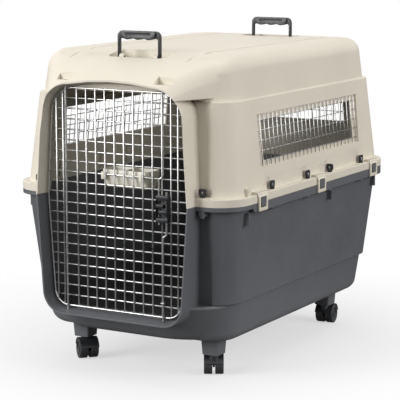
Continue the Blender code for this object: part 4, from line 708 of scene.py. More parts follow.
def bottom_round(radius, floor, inset, wall_radius, arc=8):
    """Rows of the rounded bottom edge, from the floor to where the wall starts."""
    rows = []
    for i in range(arc + 1):
        angle = math.pi / 2 * i / arc
        z = floor + radius * (1 - math.cos(angle))
        draw = radius * (1 - math.sin(angle)) + inset
        x, y = low_half(z)
        rows.append((x - draw, y - draw, max(wall_radius - draw, 0.02), z))
    return rows


def body_rings(rows, stations=()):
    return [level(rounded_rectangle(x, y, radius, stations), z) for x, y, radius, z in rows]


def base_outer(bm):
    stations = (SKIRT_SHORT_Y - 0.001, SKIRT_SHORT_Y + 0.009)
    plate_z = SPLIT_Z - PLATE
    skirt_z = SPLIT_Z - BASE_SKIRT
    rows = bottom_round(BOTTOM_ROUND, FLOOR_Z, 0.0, WALL_RADIUS)
    rows += [wall_row(low_half, STEP_Z), wall_row(base_half, STEP_Z + PLATE), wall_row(base_half, plate_z),
             flange_row(plate_z, WALL)]
    rings = body_rings(rows, stations)
    for ring in body_rings([flange_row(skirt_z, WALL), flange_row(skirt_z)], stations):
        rings.append([(x, y, SPLIT_Z - FRONT_SKIRT if y < SKIRT_SHORT_Y else z) for x, y, z in ring])
    rings += body_rings([flange_row(SPLIT_Z + TRIM)], stations)
    add_loft(bm, rings)


def base_cavity(bm):
    rows = bottom_round(BOTTOM_ROUND - WALL, FLOOR_Z + WALL, WALL, WALL_RADIUS - WALL)
    rows += [wall_row(half, z, inset=WALL) for half, z in (
        (low_half, STEP_Z), (base_half, STEP_Z + PLATE), (base_half, SPLIT_Z + PAST))]
    add_loft(bm, body_rings(rows))


def chin(bm, inset, top):
    """Bulge under the door, hollow inside; its rear stays within the tub."""
    rear = -0.100
    corner = 0.150
    slope = 0.526
    edge = 0.006
    floor = FLOOR_Z + 0.0005 + inset
    bottom = BOTTOM_ROUND - inset
    rows = []
    for i in range(4):
        angle = math.pi / 2 * i / 3
        rows.append((floor + bottom * (1 - math.cos(angle)), bottom * (1 - math.sin(angle))))
    rows += [(top - edge, 0.0), (top, edge * 0.6)]
    rings = []
    for z, draw in rows:
        half_x = low_half(z)[0] - 0.003 - (inset + draw)
        front = FRONT + 0.011 + (CHIN_Z - z) * slope + (inset + draw)
        outline = rounded_rectangle(half_x, (rear - front) / 2, corner - inset)
        rings.append(level(outline, z, 0.0, (front + rear) / 2))
    add_loft(bm, rings)


def recess(bm, half, low, high, inset):
    """Front wall set back between the corner pillars, following the draft of the wall."""
    rings = []
    for z in (low, high):
        wall = -half(z)[1]
        shoulder = wall + 0.002 + inset
        side = RECESS_HALF + inset
        right = [(side, FRONT - FAR), (side, shoulder),
                 (RECESS_FLAT + inset * 0.5, wall + RECESS_IN + inset)]
        rings.append(level(mirrored(right), z))
    add_loft(bm, rings)


def door_corners(off):
    """Sharp corners of the door opening; off is outward."""
    top_z = DOOR_TOP + off
    bottom_z = DOOR_BOTTOM - off
    wide = DOOR_HALF + off
    top_x = wide - DOOR_TAPER * (top_z - SPLIT_Z)
    bottom_x = wide - DOOR_TAPER * (SPLIT_Z - bottom_z)
    return top_x, top_z, bottom_x, bottom_z, wide


def lower_outline(off, top):
    """Lower part of the door outline, up to a level top."""
    _, _, bottom_x, bottom_z, wide = door_corners(off)
    radius = DOOR_BOTTOM_RADIUS + off
    return mirrored_polygon([(bottom_x, bottom_z, radius), (wide, SPLIT_Z, 0), (wide, top, 0)])


def arched(points, z, rise):
    """Add three points of a shallow arch over the level top, at z, of an outline."""
    half = len(points) // 2
    x = points[half - 1][0]
    arch = [(x * share, z + rise * (1 - share * share)) for share in (0.5, 0.0, -0.5)]
    return points[:half] + arch + points[half:]


def upper_outline(off, bottom):
    """Upper part of the door outline, with its arched top, down to a level bottom."""
    top_x, top_z, _, _, wide = door_corners(off)
    radius = DOOR_TOP_RADIUS + off
    outline = mirrored_polygon([(wide, bottom, 0), (wide, SPLIT_Z, 0), (top_x, top_z, radius)])
    return arched(outline, top_z, ARCH)


def door_loft(bm, sections):
    """Loft flat outlines along y; each section is its y and its outline."""
    add_loft(bm, [[(x, y, z) for x, z in outline] for y, outline in sections])


def tunnel(bm, outline, end):
    """Space in front of and through the door opening, narrower at its back."""
    back = FRONT + TUNNEL_DEPTH
    wide = outline(0.0, end)
    narrow = outline(-TUNNEL_IN, end)
    door_loft(bm, [(FRONT - 0.02, wide), (FRONT, wide), (back, narrow), (back + 0.06, narrow)])


def door_holes(bm, low, high):
    """Upright holes for the ends of the hinge rod and the latch rods."""
    for x in (HINGE_X, LATCH_X):
        add_rod(bm, (x, ROD_Y, low), (x, ROD_Y, high), ROD_HOLE / 2, 24)


def bolt_places():
    """Name, x, y and direction of the flange's outer edge for every bolt."""
    x_side = FLANGE_X - BOLT_IN
    y_end = FLANGE_Y - BOLT_IN
    rows = []
    for i, y in enumerate(BOLT_Y):
        rows.append((f"right_{i + 1}", x_side, y, 0))
        rows.append((f"left_{i + 1}", -x_side, y, 180))
    for label, x in (("right", BOLT_X), ("left", -BOLT_X)):
        rows.append((f"front_{label}", x, -y_end, -90))
        rows.append((f"rear_{label}", x, y_end, 90))
    return rows


def bolt_holes(bm, low, high):
    for _, x, y, _ in bolt_places():
        add_rod(bm, (x, y, low), (x, y, high), BOLT_HOLE / 2, 20)


def across_and_along(facing):
    across = Vector((math.cos(math.radians(facing)), math.sin(math.radians(facing)), 0.0))
    return across, Vector((-across.y, across.x, 0.0))


def add_flange_box(bm, x, y, facing, inward, outward, half, low, high):
    """Box on a flange at a bolt: inward and outward of it across the flange, half along it."""
    across, along = across_and_along(facing)
    here = Vector((x, y, 0.0))
    ends = [here - across * inward - along * half, here + across * outward + along * half]
    add_box(bm, (min(p.x for p in ends), min(p.y for p in ends), low),
            (max(p.x for p in ends), max(p.y for p in ends), high))


def bolt_blocks(bm, low, high):
    for _, x, y, facing in bolt_places():
        add_flange_box(bm, x, y, facing, 0.011, BOLT_IN - 0.001, BOLT_BLOCK[0] / 2, low, high)


def fin(bm, sign, y):
    """Thin upright fin between the wall and the underside of the side flange."""
    top = SPLIT_Z - BASE_SKIRT + SINK
    low = top - FIN_DROP
    root = base_half(low)[0] - WALL / 2
    face = FLANGE_X - 0.003
    side_prism(bm, sign, [(root, low), (face, low), (face, top), (root, top)], y, FIN_THICK / 2)


def nub(bm, sign, y):
    """Hook of the base that stands up through a clip's window, in front of the roof's flange."""
    half, reach, rise, out = NUB
    back = FLANGE_X - SINK
    low = CLIP_AXIS_Z - reach
    front = FLANGE_X + out
    face = FLANGE_X + CLEAR
    top = CLIP_AXIS_Z - rise
    root = SPLIT_Z - SINK
    outline = [(back, low), (front, low), (front, top), (face, top), (face, root), (back, root)]
    side_prism(bm, sign, outline, y, half)


def caster_boss(bm, x, y):
    rings = []
    for z, half in ((BOSS_FOOT_Z, BOSS_HALF), (FLOOR_Z + SINK, BOSS_HALF + 0.003)):
        rings.append(level(rounded_rectangle(half, half, 0.005, arc=6), z, x, y))
    add_loft(bm, rings)


def boss_hollow(bm, x, y):
    """Ring-shaped hollow of a caster boss, round the tube that holds the stem, open below."""
    half = BOSS_HALF - BOSS_WALL
    low = BOSS_FOOT_Z - PAST
    high = FLOOR_Z - WALL
    outer = rounded_rectangle(half, half, 0.004, arc=6)
    inner = [polar(STEM_TUBE / 2, math.atan2(py, px)) for px, py in outer]
    rows = []
    for outline, z in ((outer, low), (outer, high), (inner, high), (inner, low)):
        rows.append([bm.verts.new(point) for point in level(outline, z, x, y)])
    for near, far in zip(rows, rows[1:] + rows[:1]):
        add_band(bm, near, far)


def base_tub(crate):
    tub = crate.solid("base_tub", filled(base_outer), "grey")

    with crate.cut(tub, "front_recess") as bm:
        recess(bm, base_half, CHIN_Z + 0.0005, SPLIT_Z - FRONT_SKIRT, 0.0)
    with crate.join(tub, "chin") as bm:
        chin(bm, 0.0, CHIN_Z)
    with crate.join(tub, "collar") as bm:
        top = SPLIT_Z + TRIM / 2
        wide = lower_outline(LIP + COLLAR_FLARE, top)
        door_loft(bm, [(FRONT, lower_outline(LIP, top)), (FRONT + COLLAR_RUN, wide), (FRONT + 0.090, wide)])
    with crate.join(tub, "blocks") as bm:
        bolt_blocks(bm, SPLIT_Z - BOLT_BLOCK[1], SPLIT_Z - SINK)
        for sign, y in CLIP_SPOTS:
            nub(bm, sign, y)
        for x, y in CASTER_SPOTS:
            caster_boss(bm, x, y)
    with crate.join(tub, "fins") as bm:
        for sign, y in product(SIDES, FIN_Y):
            fin(bm, sign, y)
    with crate.cut(tub, "split_plane") as bm:
        add_box(bm, (-FLANGE_X - CLEAR, FRONT - PAST, SPLIT_Z),
                (FLANGE_X + CLEAR, FLANGE_Y + PAST, SPLIT_Z + FAR))

    cavity = crate.cutter("base_tub_cavity", filled(base_cavity))
    with crate.cut(cavity, "recess_wall") as bm:
        recess(bm, base_half, CHIN_Z - 0.02, SPLIT_Z + FAR, WALL)
    crate.combine(tub, cavity, "DIFFERENCE", "cavity")

    hollow = crate.cutter("base_tub_chin_hollow", filled(chin, WALL, CHIN_Z - WALL))
    with crate.cut(hollow, "sill") as bm:
        add_box(bm, (-DOOR_HALF, FRONT, DOOR_BOTTOM - WALL), (DOOR_HALF, FRONT + 0.052, CHIN_Z + PAST))
    crate.combine(tub, hollow, "DIFFERENCE", "chin_hollow")

    above = SPLIT_Z + 0.02
    back = FRONT + TUNNEL_DEPTH
    with crate.cut(tub, "collar_hollow") as bm:
        outline = lower_outline(0.0, above)
        door_loft(bm, [(back + LIP, outline), (back + LIP + 0.045, outline)])
    with crate.cut(tub, "door_tunnel") as bm:
        tunnel(bm, lower_outline, above)
    with crate.join(tub, "door_stop") as bm:
        add_box(bm, (-LIP_HALF, back, DOOR_BOTTOM - SINK),
                (LIP_HALF, back + LIP, DOOR_BOTTOM + TUNNEL_IN + LIP_RISE))
    with crate.cut(tub, "holes") as bm:
        door_holes(bm, DOOR_BOTTOM - 0.012, DOOR_BOTTOM + 0.02)
        bolt_holes(bm, SPLIT_Z - 0.03, SPLIT_Z + PAST)
        for x, y in CASTER_SPOTS:
            add_rod(bm, (x, y, BOSS_FOOT_Z - PAST), (x, y, STEM_TOP_Z + 0.001), STEM_BORE / 2, 24)
    with crate.cut(tub, "boss_hollows") as bm:
        for x, y in CASTER_SPOTS:
            boss_hollow(bm, x, y)


def fall(y):
    """How far the top of the roof has come down at a place in front."""
    ahead = max(FALL_Y - y, 0.0)
    return FALL_SLOPE * ahead + FALL_CURVE * ahead * ahead


def crown_rows(inset, arc=12):
    """Rows over the rounded top edge of the roof, and one where its top is flat."""
    start = ROOF_Z - ROOF_ROUND
    radius = ROOF_ROUND - inset
    x, y = crown_half(start)
    rows = []
    for i in range(arc + 1):
        angle = math.pi / 2 * i / arc
        draw = inset + radius * (1 - math.cos(angle))
        rows.append((x - draw, y - draw, CROWN_RADIUS - draw, start + radius * math.sin(angle)))
    draw = y + FALL_Y
    return rows + [(x - draw, y - draw, 0.040, start + radius)]


def roof_loft(bm, rows):
    """Loft rows of the roof, the points above the ledge brought down towards the front."""
    add_loft(bm, [[(x, y, z - fall(y) * max(z - LEDGE_Z, 0.0) / (ROOF_Z - LEDGE_Z)) for x, y, z in ring]
                  for ring in body_rings(rows)])


def roof_outer(bm):
    plate_z = ROOF_FLANGE_Z - PLATE
    foot = ROOF_BOTTOM_Z - TRIM
    edge = 0.0015
    roof_loft(bm, [(*roof_half(ROOF_BOTTOM_Z), WALL_RADIUS, foot), wall_row(roof_half, plate_z),
                   flange_row(plate_z, WALL), flange_row(foot, WALL), flange_row(foot),
                   flange_row(ROOF_FLANGE_Z - edge), flange_row(ROOF_FLANGE_Z, edge),
                   wall_row(roof_half, ROOF_FLANGE_Z), wall_row(roof_half, LEDGE_Z - 0.002),
                   wall_row(crown_half, LEDGE_Z + 0.001, CROWN_RADIUS)] + crown_rows(0.0))


def roof_cavity(bm):
    roof_loft(bm, [wall_row(roof_half, ROOF_BOTTOM_Z - PAST, inset=WALL),
                   wall_row(roof_half, LEDGE_Z - 0.002, inset=WALL),
                   wall_row(crown_half, LEDGE_Z + 0.001, CROWN_RADIUS, WALL)] + crown_rows(WALL))


def brow_outline(inset, y, arc=12):
    """Section of the hood over the door: collar at its foot, flaring above the ledge to the roof's width."""
    back = min(max((y - FRONT) / (HOOD_END_Y - FRONT), 0.0), 1.0)
    front_top = DOOR_TOP + LIP
    end_top = ROOF_Z - fall(HOOD_END_Y)
    top = max(ROOF_Z - fall(min(y, HOOD_END_Y)), front_top)
    risen = (top - front_top) / (end_top - front_top)
    wide = DOOR_HALF + LIP + COLLAR_FLARE * min((y - FRONT) / COLLAR_RUN, 1.0) - inset
    radius = DOOR_TOP_RADIUS + LIP - inset
    middle_z = DOOR_TOP - DOOR_TOP_RADIUS
    middle_x = wide - DOOR_TAPER * (front_top - SPLIT_Z) - radius
    foot = math.asin((HOOD_FOOT_Z - middle_z) / radius)
    side = [(wide, ROOF_BOTTOM_Z - TRIM / 2), (wide, SPLIT_Z)]
    first = math.atan(DOOR_TAPER)
    side += [polar(radius, first + (foot - first) * i / arc, middle_x, middle_z) for i in range(arc + 1)]
    step = math.radians(3)
    end_x = HOOD_END_HALF - inset - HOOD_END_ROUND
    end_z = end_top - HOOD_END_ROUND
    far = (HOOD_END_HALF - inset, HOOD_FOOT_Z + 0.006 + inset)
    for i in range(arc + 2):
        x, z = polar(radius, foot + step + (math.pi / 2 - foot - step) * i / (arc + 1), middle_x, middle_z)
        if i:
            far = polar(HOOD_END_ROUND, math.pi / 2 * (i - 1) / arc, end_x, end_z - inset)
        side.append((x + (far[0] - x) * back, z + (far[1] - z) * risen))
    return arched(mirrored(side), side[-1][1], ARCH * (1 - risen))


def brow_hollow():
    """Hollow of the hood behind the stop lip, open into the roof."""
    start = FRONT + TUNNEL_DEPTH + LIP
    sections = []
    inner = [FRONT + step for step in BROW_STEPS if FRONT + step > start + 0.008]
    for y in [start] + inner + [HOOD_END_Y + 0.012]:
        outline = brow_outline(WALL, y)
        wide = outline[0][0]
        outline[0] = (wide, SPLIT_Z - 0.02)
        outline[-1] = (-wide, SPLIT_Z - 0.02)
        sections.append((y, outline))
    return sections


def wall_matrix(z, facing):
    """Frame in the outer face of the roof's drafted wall: x along it, y up it, z out of it."""
    across = roof_half(z)[0] if facing in (0, 180) else roof_half(z)[1]
    return (Matrix.Rotation(math.radians(facing), 4, "Z") @ Matrix.Translation((across, 0.0, z))
            @ Matrix.Rotation(-math.atan(ROOF_DRAFT), 4, "Y")
            @ Matrix(((0, 0, 1, 0), (1, 0, 0, 0), (0, 1, 0, 0), (0, 0, 0, 1))))


def window_boxes(bm, grow, deep, which):
    """Boxes in the wall frames of the three windows, as large as their openings or their recesses."""
    for _, facing, z, *outlines in WINDOWS:
        half_u, half_v = outlines[which]
        start = len(bm.verts)
        add_box(bm, (-half_u - grow, -half_v - grow, -deep), (half_u + grow, half_v + grow, 0.02))
        bm.verts.ensure_lookup_table()
        bmesh.ops.transform(bm, matrix=wall_matrix(z, facing), verts=bm.verts[start:])


def handle_pocket(bm, sign, grow, low, high):
    near, far = sorted((sign * (HANDLE_Y + POCKET_OUT + grow), sign * (HANDLE_Y - POCKET_IN - grow)))
    outline = rounded_rectangle(POCKET_HALF + grow, (far - near) / 2, 0.016, arc=8)
    add_prism(bm, [(x, y + (near + far) / 2) for x, y in outline], flat, low, high)


def handle_bosses(bm, sign):
    """Two round-topped bosses in a pocket, just inside the handle's legs."""
    low = POCKET_Z - WALL / 2
    arch = [polar(BOSS_RADIUS, math.pi * i / 6, 0.0, HANDLE_PIVOT_Z) for i in range(7)]
    outline = [(sign * HANDLE_Y + u, v) for u, v in [(-BOSS_RADIUS, low), (BOSS_RADIUS, low)] + arch]
    for side in SIDES:
        outer = HANDLE_HALF - LEG[0] - CLEAR
        add_prism(bm, outline, sideways, *sorted((side * outer, side * (outer - BOSS_WIDTH))))


def pad(bm, x, y, facing):
    """Raised pad under a nut with sloping ends."""
    across, along = across_and_along(facing)
    length, rise = PAD
    low = ROOF_FLANGE_Z - SINK
    top = ROOF_FLANGE_Z + rise
    outline = [(-length / 2, low), (length / 2, low), (length / 2 - 0.007, top), (-length / 2 + 0.007, top)]
    here = Vector((x, y, 0.0))
    add_prism(bm, outline, lambda u, v, w: here + along * u + across * w + Vector((0, 0, v)),
              -0.012, BOLT_IN - 0.0016)


def clip_block(bm, sign, y, near, far, grow, low, high):
    """Block on the roof's side flange where a clip hangs."""
    xs = sorted((sign * near, sign * far))
    add_box(bm, (xs[0], y - CLIP_HALF - grow, low), (xs[1], y + CLIP_HALF + grow, high))


def roof_inner_walls(bm):
    """Walls that the roof's cavity leaves round its windows, pockets, grooves and nuts."""
    window_boxes(bm, WALL, WINDOW_DEPTH + WALL, RECESS)
    for sign in SIDES:
        handle_pocket(bm, sign, WALL, POCKET_Z - WALL, ROOF_Z + PAST)
    twin_boxes(bm, GROOVE_X, GROOVE_WIDTH / 2 + WALL, (GROOVE_Y[0] + WEDGE[1] - WALL, GROOVE_Y[1] + WALL),
               (ROOF_Z - GROOVE_DEPTH - WALL, ROOF_Z + PAST))
    for name, x, y, facing in bolt_places():
        if not name.startswith("front"):
            add_flange_box(bm, x, y, facing, NUT_POCKET + WALL, 0.005, NUT_POCKET + WALL,
                           ROOF_FLANGE_Z - PAST, ROOF_FLANGE_Z + 0.034)


def wedge_walls(bm):
    width, length, depth = WEDGE
    front = GROOVE_Y[0]
    twin_boxes(bm, GROOVE_X, width / 2 + WALL, (front - 0.03, front + length + WALL),
               (ROOF_Z - fall(front) - depth - WALL, ROOF_Z + 0.011))


def roof_recesses(bm):
    """Window recesses, grooves, room round the nuts and two slots over the door."""
    window_boxes(bm, 0.0, WINDOW_DEPTH, RECESS)
    twin_boxes(bm, GROOVE_X, GROOVE_WIDTH / 2, (GROOVE_Y[0] + WEDGE[1] + 0.0005, GROOVE_Y[1]),
               (ROOF_Z - GROOVE_DEPTH, ROOF_Z + PAST))
    # A foot exactly in the pads' top leaves a stray face over a pocket
    foot = ROOF_FLANGE_Z + PAD[1] + 0.00005
    for name, x, y, _ in bolt_places():
        if not name.startswith("front"):
            add_rod(bm, (x, y, foot), (x, y, ROOF_FLANGE_Z + 0.030), NUT_POCKET, 44)
    twin_boxes(bm, *SLOT, (FRONT + 0.007, FRONT + 0.032), (DOOR_TOP + 0.008, DOOR_TOP + 0.06))


def roof_holes(bm):
    """Window openings, wedges at the grooves' front ends, bolt and rod holes, clip and handle bearings."""
    window_boxes(bm, 0.0, 0.04, OPENING)
    front = GROOVE_Y[0] - 0.012
    back = GROOVE_Y[0] + WEDGE[1]
    shallow = ROOF_Z - GROOVE_DEPTH * 0.3
    profile = [(front, ROOF_Z + PAST), (front, ROOF_Z - fall(GROOVE_Y[0]) - WEDGE[2] * 0.8),
               (back, shallow), (back + 0.001, shallow), (back + 0.001, ROOF_Z + PAST)]
    for sign in SIDES:
        x = sign * GROOVE_X
        add_prism(bm, profile, sideways, x - WEDGE[0] / 2, x + WEDGE[0] / 2)
    bolt_holes(bm, ROOF_BOTTOM_Z - PAST, ROOF_FLANGE_Z + 0.015)
    door_holes(bm, DOOR_TOP - 0.02, DOOR_TOP + 0.03)
    for sign in SIDES:
        x = sign * (FLANGE_X - CLIP_AXIS_IN)
        for y in CLIP_Y:
            add_rod(bm, (x, y - CLIP_HALF - 0.001, CLIP_AXIS_Z), (x, y + CLIP_HALF + 0.001, CLIP_AXIS_Z),
                    CLIP_GROOVE / 2, 28)
        outer = HANDLE_HALF - LEG[0]
        y = sign * HANDLE_Y
        for side in SIDES:
            xs = sorted((side * (outer + 0.001), side * (outer - BOSS_WIDTH - 0.003)))
            add_rod(bm, (xs[0], y, HANDLE_PIVOT_Z), (xs[1], y, HANDLE_PIVOT_Z), HANDLE_PIN / 2 + 0.0004, 8)


def roof_shell(crate):
    roof = crate.solid("roof_shell", filled(roof_outer), "beige")
    ledge = LEDGE_Z - 0.001

    with crate.cut(roof, "front_recess") as bm:
        recess(bm, roof_half, ROOF_FLANGE_Z, ledge, 0.0)
    with crate.join(roof, "brow") as bm:
        end = HOOD_END_Y + 0.015
        door_loft(bm, [(FRONT + step, brow_outline(0.0, FRONT + step)) for step in BROW_STEPS]
                  + [(end, brow_outline(0.002, end))])
    with crate.join(roof, "flange_blocks") as bm:
        bolt_blocks(bm, ROOF_BOTTOM_Z - TRIM / 2, ROOF_FLANGE_Z - SINK)
        for sign, y in CLIP_SPOTS:
            clip_block(bm, sign, y, WALL_TOP_X - 0.003, FLANGE_X - 0.0025, 0.008,
                       ROOF_BOTTOM_Z - TRIM / 3, ROOF_FLANGE_Z - SINK)
    with crate.join(roof, "pads") as bm:
        for _, x, y, facing in bolt_places():
            pad(bm, x, y, facing)
        x, y, half = PEG
        twin_boxes(bm, x, half, (y - half, y + half), (ROOF_FLANGE_Z - SINK, ROOF_FLANGE_Z + PEG_RISE))
        for sign, y in CLIP_SPOTS:
            clip_block(bm, sign, y, WALL_TOP_X - 0.0045, FLANGE_X - 0.001, 0.003,
                       ROOF_FLANGE_Z - 0.003, CLIP_BLOCK_Z)
    with crate.cut(roof, "split_plane") as bm:
        add_box(bm, (-FLANGE_X - PAST, FRONT - PAST, SPLIT_Z - FAR),
                (FLANGE_X + PAST, FLANGE_Y + PAST, ROOF_BOTTOM_Z))

    cavity = crate.cutter("roof_shell_cavity", filled(roof_cavity))
    with crate.cut(cavity, "recess_wall") as bm:
        recess(bm, roof_half, ROOF_BOTTOM_Z - FAR, ledge + WALL, WALL)
    with crate.cut(cavity, "inner_walls") as bm:
        roof_inner_walls(bm)
    with crate.cut(cavity, "wedge_walls") as bm:
        wedge_walls(bm)
    crate.combine(roof, cavity, "DIFFERENCE", "cavity")

    with crate.cut(roof, "brow_hollow") as bm:
        door_loft(bm, brow_hollow())
    with crate.cut(roof, "door_tunnel") as bm:
        tunnel(bm, upper_outline, SPLIT_Z - 0.02)
    with crate.join(roof, "door_stop_and_bosses") as bm:
        lip_y = FRONT + TUNNEL_DEPTH
        add_box(bm, (-LIP_HALF, lip_y, DOOR_TOP - TUNNEL_IN - LIP_RISE),
                (LIP_HALF, lip_y + LIP - CLEAR, DOOR_TOP + ARCH))
        for sign in SIDES:
            handle_bosses(bm, sign)
    with crate.cut(roof, "recesses") as bm:
        roof_recesses(bm)
    with crate.cut(roof, "holes") as bm:
        roof_holes(bm)

    bm = bmesh.new()
    for sign in SIDES:
        handle_pocket(bm, sign, 0.0, POCKET_Z, ROOF_Z + 0.02)
    pockets = crate.cutter("roof_shell_handle_pockets", bm)
    with crate.cut(pockets, "bosses") as bm:
        for sign in SIDES:
            handle_bosses(bm, sign)
    crate.combine(roof, pockets, "DIFFERENCE", "handle_pockets")


def door_frame_outline():
    """Centreline of the frame wire, seen from the front."""
    off = -DOOR_INSET
    top_z = DOOR_TOP - DOOR_TOP_INSET
    _, _, bottom_x, bottom_z, wide = door_corners(off)
    top_x = wide - DOOR_TAPER * (top_z - SPLIT_Z)
    low = DOOR_BOTTOM_RADIUS + off
    high = DOOR_TOP_RADIUS + off
    return mirrored_polygon([(bottom_x, bottom_z, low), (wide, SPLIT_Z, 0), (top_x, top_z, high)], 12)


def outline_reach(outline, value, axis):
    """Lowest and highest crossing of a closed outline with x = value or z = value."""
    found = []
    other = 1 - axis
    for i, a in enumerate(outline):
        b = outline[(i + 1) % len(outline)]
        if (a[axis] - value) * (b[axis] - value) <= 0 and a[axis] != b[axis]:
            t = (value - a[axis]) / (b[axis] - a[axis])
            found.append(a[other] + t * (b[other] - a[other]))
    return min(found), max(found)


def door_grille(crate):
    outline = door_frame_outline()
    radius = DOOR_WIRE / 2
    y_up = DOOR_SEAM - radius + 0.0002
    y_rail = DOOR_SEAM + radius - 0.0002
    bm = bmesh.new()
    add_tube(bm, [(x, y_up, z) for x, z in outline], radius, 14, True)
    columns = [(i - (DOOR_COLUMNS - 1) / 2) * DOOR_PITCH_X + DOOR_COLUMN_SHIFT for i in range(DOOR_COLUMNS)]
    columns += [side * x for side in SIDES for x in OUTER_COLUMNS]
    for x in columns:
        add_tube(bm, [(x, y_up, z) for z in outline_reach(outline, x, 0)], radius, 14)
    bottom = min(z for _, z in outline)
    top = max(z for _, z in outline)
    for k in range(1, int((top - bottom) / DOOR_PITCH_Z - 0.3) + 1):
        z = bottom + k * DOOR_PITCH_Z
        add_tube(bm, [(x, y_rail, z) for x in outline_reach(outline, z, 1)], radius, 14)
    crate.solid("door_grille", bm, "zinc")


def window_grilles(crate):
    gap = 0.002
    radius = WINDOW_WIRE / 2
    seam = -WINDOW_DEPTH + CLEAR + WINDOW_WIRE
    for name, facing, z, _, (half_u, half_v) in WINDOWS:
        count_u = int((half_u - gap) / WINDOW_PITCH_X)
        count_v = int((half_v - gap) / WINDOW_PITCH_Z)
        ranks = list(range(-count_v, count_v + 1))
        if name == "rear":
            ranks = [k + 0.5 for k in ranks[:-1]]
        bm = bmesh.new()
        for i in range(-count_u, count_u + 1):
            u = i * WINDOW_PITCH_X
            w = seam + radius - 0.0001
            add_tube(bm, [(u, gap - half_v, w), (u, half_v - gap, w)], radius, 10)
        for k in ranks:
            v = k * WINDOW_PITCH_Z
            add_tube(bm, [(gap - half_u, v, seam - radius), (half_u - gap, v, seam - radius)], radius, 10)
        matrix = wall_matrix(z, facing)
        crate.solid("window_grille_" + name, bm, "zinc", matrix.translation, matrix.to_euler())


def latch_rod(crate, name, route, sleeve, xs, low):
    """Latch rod with the black sleeve and thumb tab that ride on it inside the case."""
    bent = smooth_bend([(x, ROD_Y, z) for x, z in route], 0.004)
    crate.solid(name, filled(add_tube, bent, ROD / 2, 18), "zinc")
    straight = [(route[-1][0], ROD_Y, z) for z in sleeve]
    crate.solid(name, filled(add_tube, straight, ROD / 2 + 0.0002, 18), "black", label="sleeve")
    face = ROD_Y + ROD / 2
    tab = filled(add_box, (xs[0], face - CASE_DEPTH - 0.002, low), (xs[1], face - CLEAR, low + TAB))
    crate.solid(name, tab, "black", edge=0.0008, label="thumb_tab")


def latch_spring(crate, name, x, fixed, moving, turns=9, steps=20):
    points = []
    for i in range(turns * steps + 1):
        spot = polar(SPRING_RADIUS, 2 * math.pi * i / steps, x, ROD_Y)
        points.append((*spot, fixed + (moving - fixed) * (i / (turns * steps))))
    crate.solid(name, filled(add_tube, points, SPRING_WIRE / 2, 8), "steel")


def door_rods(crate):
    hinge = [(HINGE_X, ROD_Y, DOOR_BOTTOM - 0.0025), (HINGE_X, ROD_Y, DOOR_TOP + 0.0095)]
    crate.solid("hinge_rod", filled(add_tube, hinge, ROD / 2, 20), "zinc")
    narrowed = TUNNEL_IN * (ROD_Y - FRONT) / TUNNEL_DEPTH
    tip = TIP_GAP + 0.0005
    low, high = CASE_Z
    middle = (low + high) / 2
    reach = ROD / 2 + 0.002
    latch_rod(crate, "latch_rod_upper",
              [(LATCH_X, DOOR_TOP - narrowed - tip), (LATCH_X, high + 0.043), (UPPER_ROD_X, high + 0.036),
               (UPPER_ROD_X, low - 0.0055)],
              (low + 0.0030, high - 0.0125), (CASE_X[0] + CASE_WALL + 0.0005, LOWER_ROD_X - reach),
              middle + TAB_APART / 2)
    latch_rod(crate, "latch_rod_lower",
              [(LATCH_X, DOOR_BOTTOM + narrowed + tip), (LATCH_X, low - 0.036), (LOWER_ROD_X, low - 0.029),
               (LOWER_ROD_X, high + 0.0065)],
              (low + 0.0125, high - 0.0030), (UPPER_ROD_X + reach, CASE_X[1] - CASE_WALL - 0.0005),
              middle - TAB_APART / 2 - TAB)
    inset = CASE_WALL + CLEAR + SPRING_WIRE / 2
    seat = TAB_APART / 2 - CLEAR - SPRING_WIRE / 2
    latch_spring(crate, "latch_spring_upper", UPPER_ROD_X, low + inset, middle + seat)
    latch_spring(crate, "latch_spring_lower", LOWER_ROD_X, high - inset, middle - seat)


def latch_case(crate):
    wall = CASE_WALL
    back = DOOR_FACE - CLEAR
    front = back - CASE_DEPTH
    (left, right), (low, high) = CASE_X, CASE_Z
    middle = (low + high) / 2
    bm = bmesh.new()
    add_box(bm, (left, front, low), (right, back, high))
    bmesh.ops.bevel(bm, geom=[e for e in bm.edges if min(v.co.y for v in e.verts) < front + 0.001],
                    offset=0.0025, segments=5, affect="EDGES", profile=0.5)
    case = crate.solid("latch_case", bm, "black", edge=0.0004)
    with crate.cut(case, "inside") as bm:
        add_box(bm, (left + wall, front + wall, low + wall), (right - wall, back + PAST, high - wall))
    half = ROD / 2 + 0.0005
    with crate.cut(case, "rod_slots") as bm:
        for x in (UPPER_ROD_X, LOWER_ROD_X):
            add_box(bm, (x - half, ROD_Y - half, low - PAST), (x + half, back + PAST, high + PAST))
    travel = TAB_APART / 2 + TAB + LATCH_TRAVEL + 0.001
    with crate.cut(case, "thumb_window") as bm:
        add_box(bm, (left + wall, front - PAST, middle - travel),
                (right - wall, front + 0.005, middle + travel))
    side = half + 0.0002
    bm = bmesh.new()
    for start, stop in ((left + wall - 0.0005, UPPER_ROD_X - side), (UPPER_ROD_X + side, LOWER_ROD_X - side),
                        (LOWER_ROD_X + side, right - wall + 0.0005)):
        add_box(bm, (start, back - 0.001, low + 0.001), (stop, back, high - 0.001))
    crate.solid("latch_case", bm, "black", label="back_strips")


def rod_guide(crate):
    z = DOOR_BOTTOM + 0.050
    wire = 0.0028
    side = ROD / 2 + wire / 2 + 0.0004
    out = ROD_Y - ROD / 2 - wire / 2 - 0.0004
    points = [(LATCH_X - side, DOOR_FACE - CLEAR, z), (LATCH_X - side, out, z), (LATCH_X + side, out, z),
              (LATCH_X + side, DOOR_FACE - CLEAR, z)]
    crate.solid("rod_guide", filled(add_tube, smooth_bend(points, 0.0016), wire / 2 - 0.0001, 12), "zinc")


